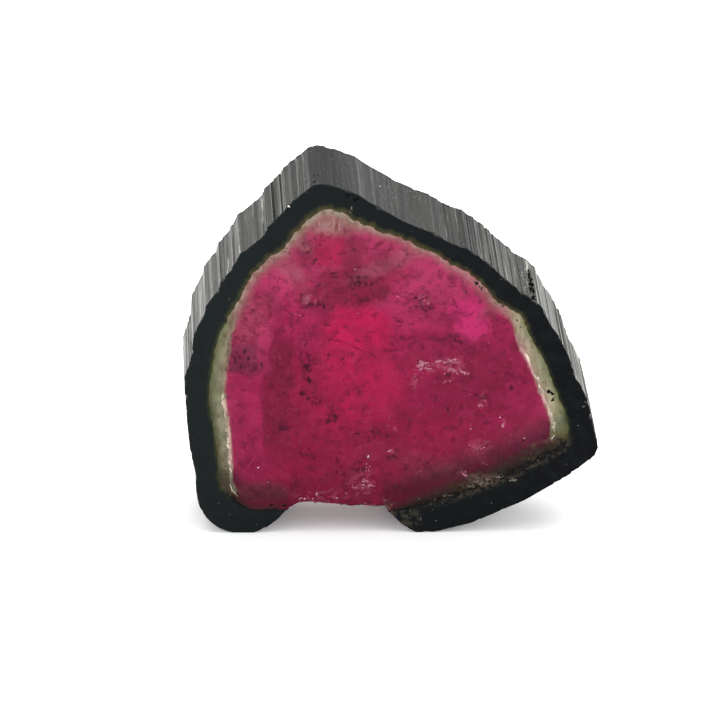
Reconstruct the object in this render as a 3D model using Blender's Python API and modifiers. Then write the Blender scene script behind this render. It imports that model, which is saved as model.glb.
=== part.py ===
"""A slab of bicolor tourmaline: one slice sawn across a crystal and polished on both ends.

Metres, +Z up. The slab stands on the two lobes of its rind, with the origin on the surface it stands on, under its
middle. The crystal grew along Y, so its section lies in the XZ plane, and the ridges of its prism faces run along Y.
The polished end that is looked at faces -Y.
"""
import math
import random

import bpy

# Driving dimensions, in metres
MM = 0.001
WIDTH = 22.5 * MM
HEIGHT = 21.7 * MM
THICKNESS = 4.35 * MM
EDGE_CHAMFER = 0.04 * MM
ROUND_STEP = 0.35 * MM
RISER_LENGTH = 0.09 * MM
RIDGE_SEED = 7

# The section, in millimetres as (x, z), clockwise seen from the front (-Y), from the left corner of the notch.
# Each stretch starts where the one before it ends.
LEFT_LOBE_INNER = [(-4.80, 2.00), (-5.48, 1.56), (-5.92, 0.98), (-6.60, 0.36), (-7.30, 0.0)]
LEFT_FOOT = [(-7.30, 0.0), (-8.45, 0.0)]
LEFT_LOBE_OUTER = [(-8.45, 0.0), (-9.15, 0.26), (-9.80, 0.84), (-10.30, 1.72), (-10.50, 2.75)]
LEFT_FACE = [(-10.50, 2.75), (-10.58, 3.95), (-10.84, 5.20), (-11.00, 6.60), (-11.16, 8.30), (-11.22, 9.85)]
UPPER_LEFT_FACE = [
    (-11.22, 9.85), (-11.02, 10.78), (-10.82, 11.65), (-10.76, 12.62), (-10.50, 13.20), (-10.25, 13.76),
    (-10.14, 14.36), (-9.80, 14.95), (-9.50, 15.30), (-9.40, 15.78), (-8.98, 16.34), (-8.80, 16.62),
    (-8.44, 17.46), (-7.76, 18.05), (-7.24, 18.60), (-7.06, 19.08), (-6.70, 19.42), (-6.30, 19.95),
    (-6.04, 20.38), (-5.60, 20.78), (-5.14, 21.15),
]
APEX = [(-5.14, 21.15), (-4.78, 21.51), (-4.24, 21.70), (-3.52, 21.54), (-2.95, 21.34)]
SMOOTH_FACE = [
    (-2.95, 21.34), (-2.24, 21.04), (-1.72, 20.64), (-0.84, 20.10), (0.10, 19.50), (0.98, 19.10), (1.82, 18.76),
]
UPPER_RIGHT_FACE = [
    (1.82, 18.76), (2.60, 18.26), (3.14, 17.97), (3.58, 17.88), (3.90, 17.56), (4.24, 17.42), (4.56, 17.07),
    (5.14, 16.60), (5.70, 16.04), (6.38, 15.38), (7.22, 14.78), (7.66, 14.38),
]
RIGHT_FACE = [
    (7.66, 14.38), (7.98, 13.72), (8.30, 13.08), (8.70, 12.52), (9.18, 11.66), (9.48, 10.82), (9.76, 10.00),
    (10.12, 9.38), (10.52, 8.50), (10.86, 7.20), (11.18, 5.92),
]
RIGHT_CORNER = [(11.18, 5.92), (11.25, 5.45), (11.12, 4.96), (10.68, 4.48)]
UNDER_FACE = [
    (10.68, 4.48), (9.88, 3.76), (8.82, 3.00), (7.48, 2.08), (5.90, 1.24), (4.60, 0.58), (3.30, 0.22), (2.45, 0.0),
]
RIGHT_FOOT = [(2.45, 0.0), (1.55, 0.0)]
RIGHT_LOBE = [(1.55, 0.0), (0.90, 0.42), (0.36, 0.98), (0.02, 1.40), (-0.22, 1.74)]
NOTCH = [
    (-0.22, 1.74), (-0.72, 1.70), (-1.50, 1.78), (-2.10, 1.72), (-2.62, 1.83), (-3.20, 1.88), (-3.86, 1.97),
    (-4.80, 2.00),
]


def smooth_stretch(corners):
    """Points of a round stretch: a Catmull-Rom curve through its corners, without the last one."""
    first = (2 * corners[0][0] - corners[1][0], 2 * corners[0][1] - corners[1][1])
    last = (2 * corners[-1][0] - corners[-2][0], 2 * corners[-1][1] - corners[-2][1])
    padded = [first] + corners + [last]
    points = []
    for before, start, end, after in zip(padded, padded[1:], padded[2:], padded[3:]):
        steps = max(1, round(math.dist(start, end) * MM / ROUND_STEP))
        for step in range(steps):
            t = step / steps
            points.append(tuple(
                0.5 * (2 * b + (c - a) * t + (2 * a - 5 * b + 4 * c - d) * t ** 2 + (3 * b - a - 3 * c + d) * t ** 3)
                for a, b, c, d in zip(before, start, end, after)
            ))
    return points


def ridged_stretch(corners, pitch, depth, dice):
    """Points of a striated prism face: flat-topped ridges at uneven heights, parted by short risers.

    pitch and depth are in millimetres. Ridges stand in from the face, so they never widen the slab.
    """
    riser = RISER_LENGTH / MM
    points = []
    for start, end in zip(corners, corners[1:]):
        run = math.dist(start, end)
        along = ((end[0] - start[0]) / run, (end[1] - start[1]) / run)
        inward = (along[1], -along[0])
        ridges = max(1, round(run / pitch))
        marks = [0.0] + [(k + dice.uniform(-0.25, 0.25)) / ridges * run for k in range(1, ridges)] + [run]
        for low, high in zip(marks, marks[1:]):
            inset = dice.uniform(0.0, depth)
            for place in (low + riser / 2, high - riser / 2):
                points.append((
                    start[0] + along[0] * place + inward[0] * inset,
                    start[1] + along[1] * place + inward[1] * inset,
                ))
    return points


def plain_stretch(corners):
    """Points of a broken or flat stretch, without the last one."""
    return list(corners[:-1])


def section_outline():
    """The whole section as one closed list of (x, z) points in metres."""
    dice = random.Random(RIDGE_SEED)
    points = []
    points += smooth_stretch(LEFT_LOBE_INNER)
    points += plain_stretch(LEFT_FOOT)
    points += smooth_stretch(LEFT_LOBE_OUTER)
    points += ridged_stretch(LEFT_FACE, 0.50, 0.04, dice)
    points += ridged_stretch(UPPER_LEFT_FACE, 0.36, 0.07, dice)
    points += smooth_stretch(APEX)
    points += ridged_stretch(SMOOTH_FACE, 0.60, 0.02, dice)
    points += ridged_stretch(UPPER_RIGHT_FACE, 0.34, 0.07, dice)
    points += ridged_stretch(RIGHT_FACE, 0.45, 0.05, dice)
    points += smooth_stretch(RIGHT_CORNER)
    points += ridged_stretch(UNDER_FACE[:-1], 0.70, 0.02, dice)
    points += plain_stretch(UNDER_FACE[-2:])
    points += plain_stretch(RIGHT_FOOT)
    points += smooth_stretch(RIGHT_LOBE)
    points += plain_stretch(NOTCH)
    return fitted(points)


def fitted(points):
    """The points scaled to the slab's width and height, centred over the origin, with the feet at height 0."""
    xs = [x for x, z in points]
    zs = [z for x, z in points]
    middle = (min(xs) + max(xs)) / 2
    wide = WIDTH / (max(xs) - min(xs))
    tall = HEIGHT / (max(zs) - min(zs))
    return [((x - middle) * wide, (z - min(zs)) * tall) for x, z in points]


def tourmaline():
    """Very dark green rind, glossy where it is polished."""
    material = bpy.data.materials.new("tourmaline")
    material.use_nodes = True
    shader = material.node_tree.nodes["Principled BSDF"]
    shader.inputs["Base Color"].default_value = (0.012, 0.018, 0.018, 1.0)
    shader.inputs["Roughness"].default_value = 0.18
    shader.inputs["Metallic"].default_value = 0.0
    shader.inputs["IOR"].default_value = 1.63
    return material


def slab(collection):
    """The section as a flat outline, half a thickness to each side, stood up and given small chamfers."""
    outline = section_outline()
    curve = bpy.data.curves.new("slab", "CURVE")
    curve.dimensions = "2D"
    curve.fill_mode = "BOTH"
    curve.extrude = THICKNESS / 2
    spline = curve.splines.new("POLY")
    spline.points.add(len(outline) - 1)
    for point, (x, z) in zip(spline.points, outline):
        point.co = (x, z, 0.0, 1.0)
    spline.use_cyclic_u = True
    stone = bpy.data.objects.new("slab", curve)
    stone.rotation_euler = (math.pi / 2, 0.0, 0.0)
    collection.objects.link(stone)
    weld = stone.modifiers.new("caps to wall", "WELD")
    weld.merge_threshold = 0.000001
    chamfer = stone.modifiers.new("edge chamfer", "BEVEL")
    chamfer.width = EDGE_CHAMFER
    chamfer.segments = 1
    chamfer.limit_method = "ANGLE"
    chamfer.angle_limit = math.radians(80.0)
    curve.materials.append(tourmaline())
    return stone


for leftover in list(bpy.data.objects):
    bpy.data.objects.remove(leftover, do_unlink=True)
part = bpy.data.collections.new("bicolor_tourmaline_slab")
bpy.context.scene.collection.children.link(part)
slab(part)
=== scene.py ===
# %% [markdown]
# # A slab of bicolor tourmaline
# The real object is one slice of a watermelon tourmaline crystal, sawn across its length and polished on
# both ends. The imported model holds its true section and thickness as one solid. This lesson builds what
# the eye sees of it: a black-green rind with ridged prism faces, a pale band, a see-through pink core and
# the marks sealed in it.

import math
import random

import bmesh
import bpy
from mathutils import Euler, Matrix, Vector, noise


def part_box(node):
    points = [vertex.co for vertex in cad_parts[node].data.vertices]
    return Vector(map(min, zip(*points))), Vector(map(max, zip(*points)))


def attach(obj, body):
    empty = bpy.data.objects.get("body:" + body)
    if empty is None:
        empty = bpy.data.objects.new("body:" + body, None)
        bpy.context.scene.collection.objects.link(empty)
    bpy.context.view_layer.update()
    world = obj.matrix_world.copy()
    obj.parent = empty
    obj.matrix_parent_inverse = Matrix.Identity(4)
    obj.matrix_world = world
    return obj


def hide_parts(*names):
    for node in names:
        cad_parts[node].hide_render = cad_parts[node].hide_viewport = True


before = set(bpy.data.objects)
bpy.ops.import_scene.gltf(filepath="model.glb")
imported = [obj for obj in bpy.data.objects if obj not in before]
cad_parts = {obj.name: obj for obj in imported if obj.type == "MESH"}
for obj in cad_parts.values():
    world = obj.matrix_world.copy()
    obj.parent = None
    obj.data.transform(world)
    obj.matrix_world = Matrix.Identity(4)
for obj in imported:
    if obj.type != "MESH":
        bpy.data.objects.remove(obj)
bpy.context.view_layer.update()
MM = 0.001
LOW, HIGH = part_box("slab")
PROUD = 0.006 * MM  # room above the polish for chips and dust
FRONT, BACK = LOW.y + PROUD, HIGH.y - PROUD
THICKNESS = BACK - FRONT
print("slab box in mm:", [round(v / MM, 3) for v in (*LOW, *HIGH)])

# %% [markdown]
# ## The outline of the slice
# The pieces below have to fill exactly the space of the CAD node, so their outline is read from it.
# Cutting the node with its middle plane leaves one ring of edges. Walking that ring gives the outline as
# a list of points.

# %% Read the section of the node
WELD = 0.0005 * MM
STRAIGHT = 0.0004 * MM  # a point nearer than this to the line between its neighbours is left out


def mid_section(node):
    """The points (x, z) of the ring where the middle plane cuts a node, clockwise seen from the front."""
    bm = bmesh.new()
    bm.from_mesh(node.data)
    bmesh.ops.remove_doubles(bm, verts=bm.verts, dist=WELD)
    everything = bm.verts[:] + bm.edges[:] + bm.faces[:]
    bmesh.ops.bisect_plane(
        bm, geom=everything, plane_co=(0, 0, 0), plane_no=(0, 1, 0), clear_inner=True, clear_outer=True
    )
    bmesh.ops.remove_doubles(bm, verts=bm.verts, dist=WELD)
    bm.verts.ensure_lookup_table()
    ring, previous = [bm.verts[0]], None
    while True:
        here = ring[-1]
        ahead = [e.other_vert(here) for e in here.link_edges if e.other_vert(here) is not previous]
        if ahead[0] is ring[0] or (len(ahead) > 1 and ahead[1] is ring[0] and len(ring) > 2):
            break
        previous = here
        ring.append(ahead[0])
    points = [Vector((v.co.x, v.co.z)) for v in ring]
    bm.free()
    area = sum(a.x * b.y - b.x * a.y for a, b in zip(points, points[1:] + points[:1])) / 2
    if area > 0:
        points.reverse()
    return without_straight_ones(points)


def without_straight_ones(points):
    """The closed ring without the points that lie on the line between their neighbours."""
    kept = []
    for before, here, after in zip(points[-1:] + points[:-1], points, points[1:] + points[:1]):
        span = (after - before).length
        off = abs((after - before).cross(here - before)) / span if span > 0 else 0.0
        if off > STRAIGHT:
            kept.append(here)
    return kept


section = mid_section(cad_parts["slab"])
print("section points:", len(section))

# %% [markdown]
# ## Small tools for paths
# Every zone of the crystal is a path in the XZ plane. A Catmull-Rom curve turns a few stations into a
# smooth path, and an outward direction at each of its points lets one zone be set off from another.

# %% Path helpers
SPAN_STEPS = 24  # points drawn between two stations


def on_curve(t, a, b, c, d):
    """The number of a Catmull-Rom curve at t (0 to 1) between b and c."""
    rise = (c - a) * t
    bend = (2 * a - 5 * b + 4 * c - d) * t ** 2
    twist = (3 * b - a - 3 * c + d) * t ** 3
    return 0.5 * (2 * b + rise + bend + twist)


def smooth_path(stations, count):
    """count points at even steps along a curve through the stations, each a tuple of numbers."""
    first = [2 * a - b for a, b in zip(stations[0], stations[1])]
    last = [2 * a - b for a, b in zip(stations[-1], stations[-2])]
    padded = [first, *stations, last]
    fine = []
    for p, q, r, s in zip(padded, padded[1:], padded[2:], padded[3:]):
        for step in range(SPAN_STEPS):
            fine.append([on_curve(step / SPAN_STEPS, *numbers) for numbers in zip(p, q, r, s)])
    fine.append(list(stations[-1]))
    return even_steps(fine, count)


def even_steps(points, count):
    """count points at even steps along a path of points; the first two numbers of each are its place."""
    travelled = [0.0]
    for a, b in zip(points, points[1:]):
        travelled.append(travelled[-1] + math.dist(a[:2], b[:2]))
    out, k = [], 0
    for step in range(count):
        target = travelled[-1] * step / (count - 1)
        while k < len(points) - 2 and travelled[k + 1] < target:
            k += 1
        run = travelled[k + 1] - travelled[k]
        t = (target - travelled[k]) / run if run else 0.0
        out.append([a + (b - a) * t for a, b in zip(points[k], points[k + 1])])
    return out


def outward(points, reach):
    """The direction away from the inside at each point of a clockwise path, set by points reach away."""
    out = []
    for k in range(len(points)):
        before, after = points[max(0, k - reach)], points[min(len(points) - 1, k + reach)]
        along = Vector((after[0] - before[0], after[1] - before[1])).normalized()
        out.append(Vector((-along.y, along.x)))
    return out


around = sum((b - a).length for a, b in zip(section, section[1:] + section[:1]))
print("way around the section in mm:", round(around / MM, 2))

# %% [markdown]
# ## The growth zones
# As the crystal grew, its colour changed from pink through a pale band to black. The inner edge of the
# black rind is given by stations around the core, in millimetres, each with the width of the pale band
# there. The edge wavers, as the crystal grew by fits and starts. The band is broad on the two flanks and
# almost closes over the top. Both ends of the path lie on the notch, where the rind has broken away.

# %% Zone stations
RIND_EDGE = [  # x, z, width of the pale band
    (-5.50, 1.56, 0.10), (-6.29, 1.48, 0.20), (-6.99, 1.42, 0.16), (-7.64, 1.48, 0.20),
    (-8.33, 1.92, 0.36), (-9.05, 2.73, 0.54), (-9.28, 3.46, 0.66), (-9.36, 4.49, 0.69),
    (-9.50, 5.48, 0.76), (-9.62, 6.50, 0.80), (-9.75, 7.44, 0.80), (-9.90, 8.34, 0.80),
    (-9.93, 9.26, 0.79), (-9.81, 10.16, 0.75), (-9.72, 11.02, 0.73), (-9.58, 11.86, 0.73),
    (-9.39, 12.66, 0.57), (-9.05, 13.40, 0.45), (-8.73, 14.10, 0.38), (-8.36, 14.76, 0.38),
    (-8.14, 15.48, 0.38), (-7.82, 16.15, 0.41), (-7.36, 16.70, 0.42), (-6.89, 17.22, 0.39),
    (-6.36, 17.65, 0.37), (-6.10, 17.86, 0.36), (-5.94, 18.23, 0.36), (-5.48, 18.79, 0.37),
    (-5.02, 19.45, 0.39), (-4.45, 19.95, 0.42), (-4.15, 20.16, 0.43), (-3.78, 20.19, 0.45),
    (-3.39, 20.06, 0.46), (-3.02, 19.96, 0.45), (-2.28, 19.47, 0.40), (-1.63, 19.14, 0.33),
    (-1.04, 18.82, 0.28), (-0.46, 18.67, 0.25), (0.09, 18.41, 0.23), (0.63, 18.16, 0.22),
    (1.14, 17.82, 0.24), (1.70, 17.64, 0.26), (2.23, 17.33, 0.28), (2.69, 16.91, 0.31),
    (3.29, 16.66, 0.33), (3.80, 16.23, 0.35), (4.32, 15.78, 0.36), (4.77, 15.24, 0.33),
    (5.26, 14.68, 0.33), (5.63, 14.44, 0.35), (5.98, 14.20, 0.39), (6.44, 13.92, 0.47),
    (6.72, 13.57, 0.56), (7.03, 12.75, 0.65), (7.47, 11.92, 0.75), (7.98, 11.02, 0.80),
    (8.37, 10.04, 0.80), (8.79, 8.97, 0.79), (9.03, 8.38, 0.79), (9.28, 7.76, 0.79), (9.55, 6.59, 0.84),
    (9.38, 5.50, 0.84), (8.47, 4.80, 0.96), (6.85, 3.84, 0.98), (5.52, 3.14, 0.90), (3.90, 2.42, 0.82),
    (2.60, 1.95, 0.74), (1.33, 1.56, 0.56), (0.39, 1.34, 0.26),
]
ZONE_POINTS = 420
OLIVE_FADE = 0.42 * MM
CRUMBLE = 0.13 * MM
CRUMB_SIZE = 0.30 * MM
CRUMBLY_ABOVE = 13 * MM
NOTCH_LEFT, NOTCH_RIGHT = (-5.48, 1.56), (0.02, 1.40)  # x, z where the rind breaks off, in mm
BROAD = 12  # points to either side that set a direction, so that a small waver doesn't turn it

# %% Paths of the growth zones
rind_path = [(x * MM, z * MM, w * MM) for x, z, w in smooth_path(RIND_EDGE, ZONE_POINTS)]
zone_out = outward(rind_path, reach=BROAD)
pink_edge = [Vector(p[:2]) - n * p[2] for p, n in zip(rind_path, zone_out)]


def crumbled(place, direction):
    """A place on the rind's inner edge pushed in or out by its crumbs, which are coarser over the top."""
    crumb = CRUMBLE if place.y > CRUMBLY_ABOVE else CRUMBLE / 3
    return place + direction * crumb * noise.noise(Vector((place.x, place.y, 0.0)) / CRUMB_SIZE)


rind_edge = [crumbled(Vector(p[:2]), n) for p, n in zip(rind_path, zone_out)]


def nearest(points, target):
    """The place in a list of the point nearest to target."""
    return min(range(len(points)), key=lambda k: (points[k] - target).length)


left_break = nearest(section, Vector(NOTCH_LEFT) * MM)
section = section[left_break:] + section[:left_break]
right_break = nearest(section, Vector(NOTCH_RIGHT) * MM)
rind_edge[0], rind_edge[-1] = section[0], section[right_break]
notch = section[right_break:] + section[:1]
print("outline round the rind:", right_break, "points, across the notch:", len(notch))

# %% [markdown]
# ## The rind
# The prism faces of tourmaline are never smooth: they are made of many narrow facets that run the length
# of the crystal. The outline from the node holds the broad ones. Finer facets are cut into each of its
# edges here, always inwards, so the piece never grows past the node. They are geometry and not bump,
# because the rim is seen edge-on against the light, where only real facets catch it.

# %% Fine facets on the outline
FACET_WIDTH = (0.05 * MM, 0.26 * MM)
FACET_DEPTH = 0.036 * MM
FACET_MOODS = (0.25, 0.7, 1.2, 1.8)  # some stretches are nearly plain, others deeply grooved
FACET_RISER = 0.010 * MM
STRIATED_ABOVE = 2.6 * MM
APEX_FROM, APEX_TO, APEX_ABOVE = -4.9 * MM, 1.2 * MM, 18 * MM
APEX_STRIATION = 0.30
OUTLINE_STEP = 0.22 * MM


def facet_strength(place):
    """How deeply a spot is striated: not at all on the worn lobes, a little on the apex face."""
    if place.y < STRIATED_ABOVE:
        return 0.0
    on_apex_face = APEX_FROM < place.x < APEX_TO and place.y > APEX_ABOVE
    return APEX_STRIATION if on_apex_face else 1.0


def facet_marks(run, dice):
    """Places along a stretch where one facet ends and the next begins, at uneven widths."""
    marks = [0.0]
    while marks[-1] < run - FACET_WIDTH[1]:
        marks.append(marks[-1] + dice.uniform(*FACET_WIDTH))
    return marks + [run]


def faceted(points, dice):
    """The outline with narrow facets cut into its edges, each tilted its own way."""
    out = []
    for start, end in zip(points, points[1:]):
        out.append(start)
        run = (end - start).length
        along = (end - start) / run
        inward = Vector((along.y, -along.x))
        strength = facet_strength((start + end) / 2) * dice.choice(FACET_MOODS)
        if strength == 0 or run < FACET_WIDTH[1]:
            continue
        marks = facet_marks(run, dice)
        for low, high in zip(marks, marks[1:]):
            depth = FACET_DEPTH * min(1.0, (high - low) / FACET_WIDTH[0] / 2)
            for place in (low + FACET_RISER, high - FACET_RISER):
                inset = inward * dice.uniform(0.0, depth) * strength
                out.append(start + along * place + inset)
    out.append(points[-1])
    return out


def finer(points, longest):
    """The path with points added so that no edge is longer than longest."""
    out = []
    for start, end in zip(points, points[1:]):
        parts = max(1, math.ceil((end - start).length / longest))
        out += [start.lerp(end, k / parts) for k in range(parts)]
    out.append(points[-1])
    return out


rind_outline = finer(faceted(section[:right_break + 1], random.Random(11)), OUTLINE_STEP)
print("points on the faceted outline:", len(rind_outline))

# %% [markdown]
# The end face of the rind is drawn as a flat C: a narrow strip along the pale band, which carries the
# fade from olive to black, and a fill out to the faceted outline. Extruding the C through the thickness
# gives a closed solid. Rows are then cut into its wall, so that the facets can waver along the crystal
# and the edges can chip.

# %% Mesh helpers
CUT = 1e-9  # a vertex this near to a cutting plane is taken to lie on it


def chain(bm, points, layers, values, closed=False):
    """A chain of vertices and edges on the front plane; values holds the layers' numbers for each."""
    verts = [bm.verts.new((p.x, FRONT, p.y)) for p in points]
    for vert, numbers in zip(verts, values):
        for layer, number in zip(layers, numbers):
            vert[layer] = number
    edges = [bm.edges.new(pair) for pair in zip(verts, verts[1:])]
    if closed:
        edges.append(bm.edges.new((verts[-1], verts[0])))
    return verts, edges


def grow(bm, verts, edges, places, layer, numbers):
    """Extrudes a chain of edges and moves the new vertices to places, setting one float layer on them."""
    made = bmesh.ops.extrude_edge_only(bm, edges=edges)["geom"]
    fresh = {item for item in made if isinstance(item, bmesh.types.BMVert)}
    twins = []
    for vert in verts:
        twins.append(next(e.other_vert(vert) for e in vert.link_edges if e.other_vert(vert) in fresh))
    for twin, place, number in zip(twins, places, numbers):
        twin.co = (place.x, FRONT, place.y)
        twin[layer] = number
    new_edges = [item for item in made if isinstance(item, bmesh.types.BMEdge)
                 and item.verts[0] in fresh and item.verts[1] in fresh]
    return twins, new_edges


def through_the_slab(bm, rows):
    """Makes flat faces a closed solid as thick as the slab, its wall cut at each of rows (y)."""
    made = bmesh.ops.extrude_face_region(bm, geom=bm.faces[:], use_keep_orig=True)["geom"]
    moved = [item for item in made if isinstance(item, bmesh.types.BMVert)]
    bmesh.ops.translate(bm, verts=moved, vec=(0.0, THICKNESS, 0.0))
    for y in rows:
        everything = bm.verts[:] + bm.edges[:] + bm.faces[:]
        bmesh.ops.bisect_plane(bm, geom=everything, dist=CUT, plane_co=(0, y, 0), plane_no=(0, 1, 0))
    bmesh.ops.recalc_face_normals(bm, faces=bm.faces)


# %% From a mesh to a piece
def finish_piece(bm, name, materials):
    """A mesh object from a bmesh, kept inside the node's box and put on the crystal's one body."""
    for vert in bm.verts:
        vert.co = [min(max(value, low), high) for value, low, high in zip(vert.co, LOW, HIGH)]
    mesh = bpy.data.meshes.new(name)
    bm.to_mesh(mesh)
    bm.free()
    for material in materials:
        mesh.materials.append(material)
    piece = bpy.data.objects.new(name, mesh)
    bpy.context.scene.collection.objects.link(piece)
    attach(piece, "root")
    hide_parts("slab")
    print(name, "faces:", len(mesh.polygons))
    return piece


def blank_finish(name):
    """A material whose nodes a later cell builds."""
    made = bpy.data.materials.new(name)
    made.use_nodes = True
    return made


# %% [markdown]
# Black tourmaline is brittle, so the sharp edge of each polished end is full of small nicks. Each nick is
# a short stretch of the edge pushed in, deepest at its middle, and the same stretch worn back along the
# wall.

# %% Nicks along the polished edges
EDGE_WEAR = 0.018 * MM
NICKS_PER_EDGE = 110
NICK_HALF_LENGTH = (0.05 * MM, 0.26 * MM)
NICK_DEPTH = (0.03 * MM, 0.17 * MM)
WEAR_REACH = 14  # points to either side that set the direction of the wear


def distances_along(points):
    """How far along the path each of its points is."""
    out = [0.0]
    for a, b in zip(points, points[1:]):
        out.append(out[-1] + (b - a).length)
    return out


def nicked_edge(places, dice):
    """How far in the edge is worn at each place along it."""
    wear = [EDGE_WEAR * dice.uniform(0.6, 1.2) for _ in places]
    for _ in range(NICKS_PER_EDGE):
        middle = dice.uniform(0.0, places[-1])
        half = dice.uniform(*NICK_HALF_LENGTH) * dice.random() ** 0.5
        depth = NICK_DEPTH[0] + (NICK_DEPTH[1] - NICK_DEPTH[0]) * dice.random() ** 3
        for k, place in enumerate(places):
            away = abs(place - middle) / half
            if away < 1:
                wear[k] = max(wear[k], depth * (1 - away ** 2) * dice.uniform(0.75, 1.0))
    return wear


rind_places = distances_along(rind_outline)
rind_inward = [-n for n in outward(rind_outline, reach=WEAR_REACH)]
front_wear = nicked_edge(rind_places, random.Random(21))
back_wear = nicked_edge(rind_places, random.Random(22))
print("deepest nick in mm:", round(max(front_wear) / MM, 3))

# %% Strip and seam of the rind
RIND_ROW_DEPTHS = [d * MM for d in (0.03, 0.09, 0.18, 0.28, 0.5, 0.9, 1.4, 1.9)]
RIND_WELD = 0.0001 * MM
WAVER = 0.012 * MM
WAVER_CELL = (0.25 * MM, 1.1 * MM)  # around the slice and along the crystal
WAVER_FROM = 0.2 * MM  # below the polish
WORN_BACK = 0.02 * MM  # how much further down the wall than inwards an edge is worn
TAPER = 0.9 * MM
STRIP_SHARE = 0.98  # of the olive fade, so that the strip stays inside it
POLISHED, STRIATED, INNER = 0, 1, 2  # places of the rind's materials
SEAM = Vector((7.25, 14.85)) * MM
SEAM_REACH = 0.74  # of the thickness, from the front
SEAM_GROOVE = (0.20 * MM, 0.07 * MM)  # how deep the seam is at its middle and beside it
STATION = "station"
MARGIN = "margin"


def mirrored_rows(depths):
    """Row heights at the same depths from both polished ends."""
    return [FRONT + d for d in depths] + [BACK - d for d in reversed(depths)]


def olive_strip_edge():
    """The far side of the olive fade: the inner edge set outwards, tapering at the broken ends."""
    away = outward(rind_edge, reach=BROAD)
    travelled = distances_along(rind_edge)
    places = []
    for place, direction, gone in zip(rind_edge, away, travelled):
        from_end = min(gone, travelled[-1] - gone) / TAPER
        places.append(place + direction * OLIVE_FADE * min(1.0, from_end) * STRIP_SHARE)
    return places


seam_at = nearest(rind_outline, SEAM)


def seam_push(k, y):
    """How far the wall is pushed in by the rough seam that crosses it."""
    beside = abs(k - seam_at)
    if beside >= len(SEAM_GROOVE) or y > FRONT + THICKNESS * SEAM_REACH:
        return 0.0
    return SEAM_GROOVE[beside] * (0.7 + 0.6 * noise.noise(Vector((0.0, y / (0.3 * MM), 0.0))))


# %% Build the rind
def weather(vert, k):
    """Pushes in a vertex at place k of the outer wall: worn at the edges, wavering, deep at the seam."""
    y = vert.co.y
    depth = min(y - FRONT, BACK - y)
    wear = front_wear[k] if y < 0 else back_wear[k]
    push = wear * max(0.0, 1 - depth / (WORN_BACK + wear))
    drift = noise.noise(Vector((rind_places[k] / WAVER_CELL[0], y / WAVER_CELL[1], 0.0)))
    push += WAVER * (0.5 + 0.5 * drift) * min(1.0, depth / WAVER_FROM)
    push += seam_push(k, y)
    vert.co.x += rind_inward[k].x * push
    vert.co.z += rind_inward[k].y * push


def rind_material(face, margin):
    """Which of the rind's materials a face has: the polished ends, the outer wall or the inner one."""
    if abs(face.normal.y) > 0.99:
        return POLISHED
    return INNER if all(vert[margin] < 0.01 for vert in face.verts) else STRIATED


def build_rind():
    """The C-shaped solid of black tourmaline, with faceted outer wall and nicked edges."""
    bm = bmesh.new()
    margin = bm.verts.layers.float.new(MARGIN)
    station = bm.verts.layers.float.new(STATION)
    verts, edges = chain(bm, rind_edge, [margin, station], [(0.0, 0.0)] * len(rind_edge))
    strip_verts, strip_edges = grow(bm, verts, edges, olive_strip_edge(), margin, [1.0] * len(rind_edge))
    numbers = [(1.0, k + 1.0) for k in range(1, len(rind_outline) - 1)]
    outline_verts, outline_edges = chain(bm, rind_outline[1:-1], [margin, station], numbers)
    outline_edges.append(bm.edges.new((strip_verts[0], outline_verts[0])))
    outline_edges.append(bm.edges.new((strip_verts[-1], outline_verts[-1])))
    bmesh.ops.triangle_fill(bm, edges=strip_edges + outline_edges, use_beauty=True, normal=(0, -1, 0))
    bmesh.ops.remove_doubles(bm, verts=bm.verts, dist=RIND_WELD)
    through_the_slab(bm, mirrored_rows(RIND_ROW_DEPTHS))
    for vert in bm.verts:
        k = round(vert[station]) - 1
        if k >= 0:
            weather(vert, k)
    bm.normal_update()
    for face in bm.faces:
        face.material_index = rind_material(face, margin)
    return finish_piece(bm, "rind", [polished_rind, prism_faces, inner_wall])


polished_rind = blank_finish("polished_black_rind")
prism_faces = blank_finish("striated_prism_faces")
inner_wall = blank_finish("olive_inner_wall")
build_rind()

# %% [markdown]
# ## The clear core
# The pale band and the pink core are one clear crystal, so they are one closed solid with one see-through
# material: light must not meet a surface between them. A number stored on its vertices says how far each
# point lies from the rind, and the material turns that number into colour. Just under the polished faces
# the solid flares out into the rind, so no air gap is left there, and in the notch its broken wall lies
# open.

# %% Rings and walls of the core
BAND_SHARES = (0.25, 0.5, 0.75, 1.0)
INSIDE_STEPS = ((0.12, 1.12), (0.34, 1.34))  # mm inside the pink edge, zone number there
NOTCH_STEPS = (0.03, 0.07, 0.11, 0.15, 0.25, 0.42)
FLARE = 0.10 * MM
CORE_ROW_DEPTHS = [d * MM for d in (0.03, 0.15, 0.4, 0.7, 1.0, 1.35, 1.7, 2.05)]
ZONE = "zone"
PURE_PINK = 1.34
OPEN_WALL_STEP = 0.09 * MM
OPEN_WALL_STRAY = 0.03  # mm, upwards
NOTCH_ROUGHNESS = 0.09 * MM
ROUGH_CELLS = (0.45 * MM, 0.18 * MM)  # of the notch's coarse and fine roughness
AT_RIND, AT_NOTCH = 1, 2  # the station number says which wall a vertex belongs to


def zone_rings():
    """The rings inside the rind's edge: points, zone number, and distance from the notch (mm)."""
    rings = []
    for share, step in zip(BAND_SHARES, NOTCH_STEPS):
        band = [r.lerp(p, share) for r, p in zip(rind_edge, pink_edge)]
        rings.append((band, share, step))
    for (inside, number), step in zip(INSIDE_STEPS, NOTCH_STEPS[len(BAND_SHARES):]):
        band = [p - n * inside * MM for p, n in zip(pink_edge, zone_out)]
        rings.append((band, number, step))
    return rings


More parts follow.
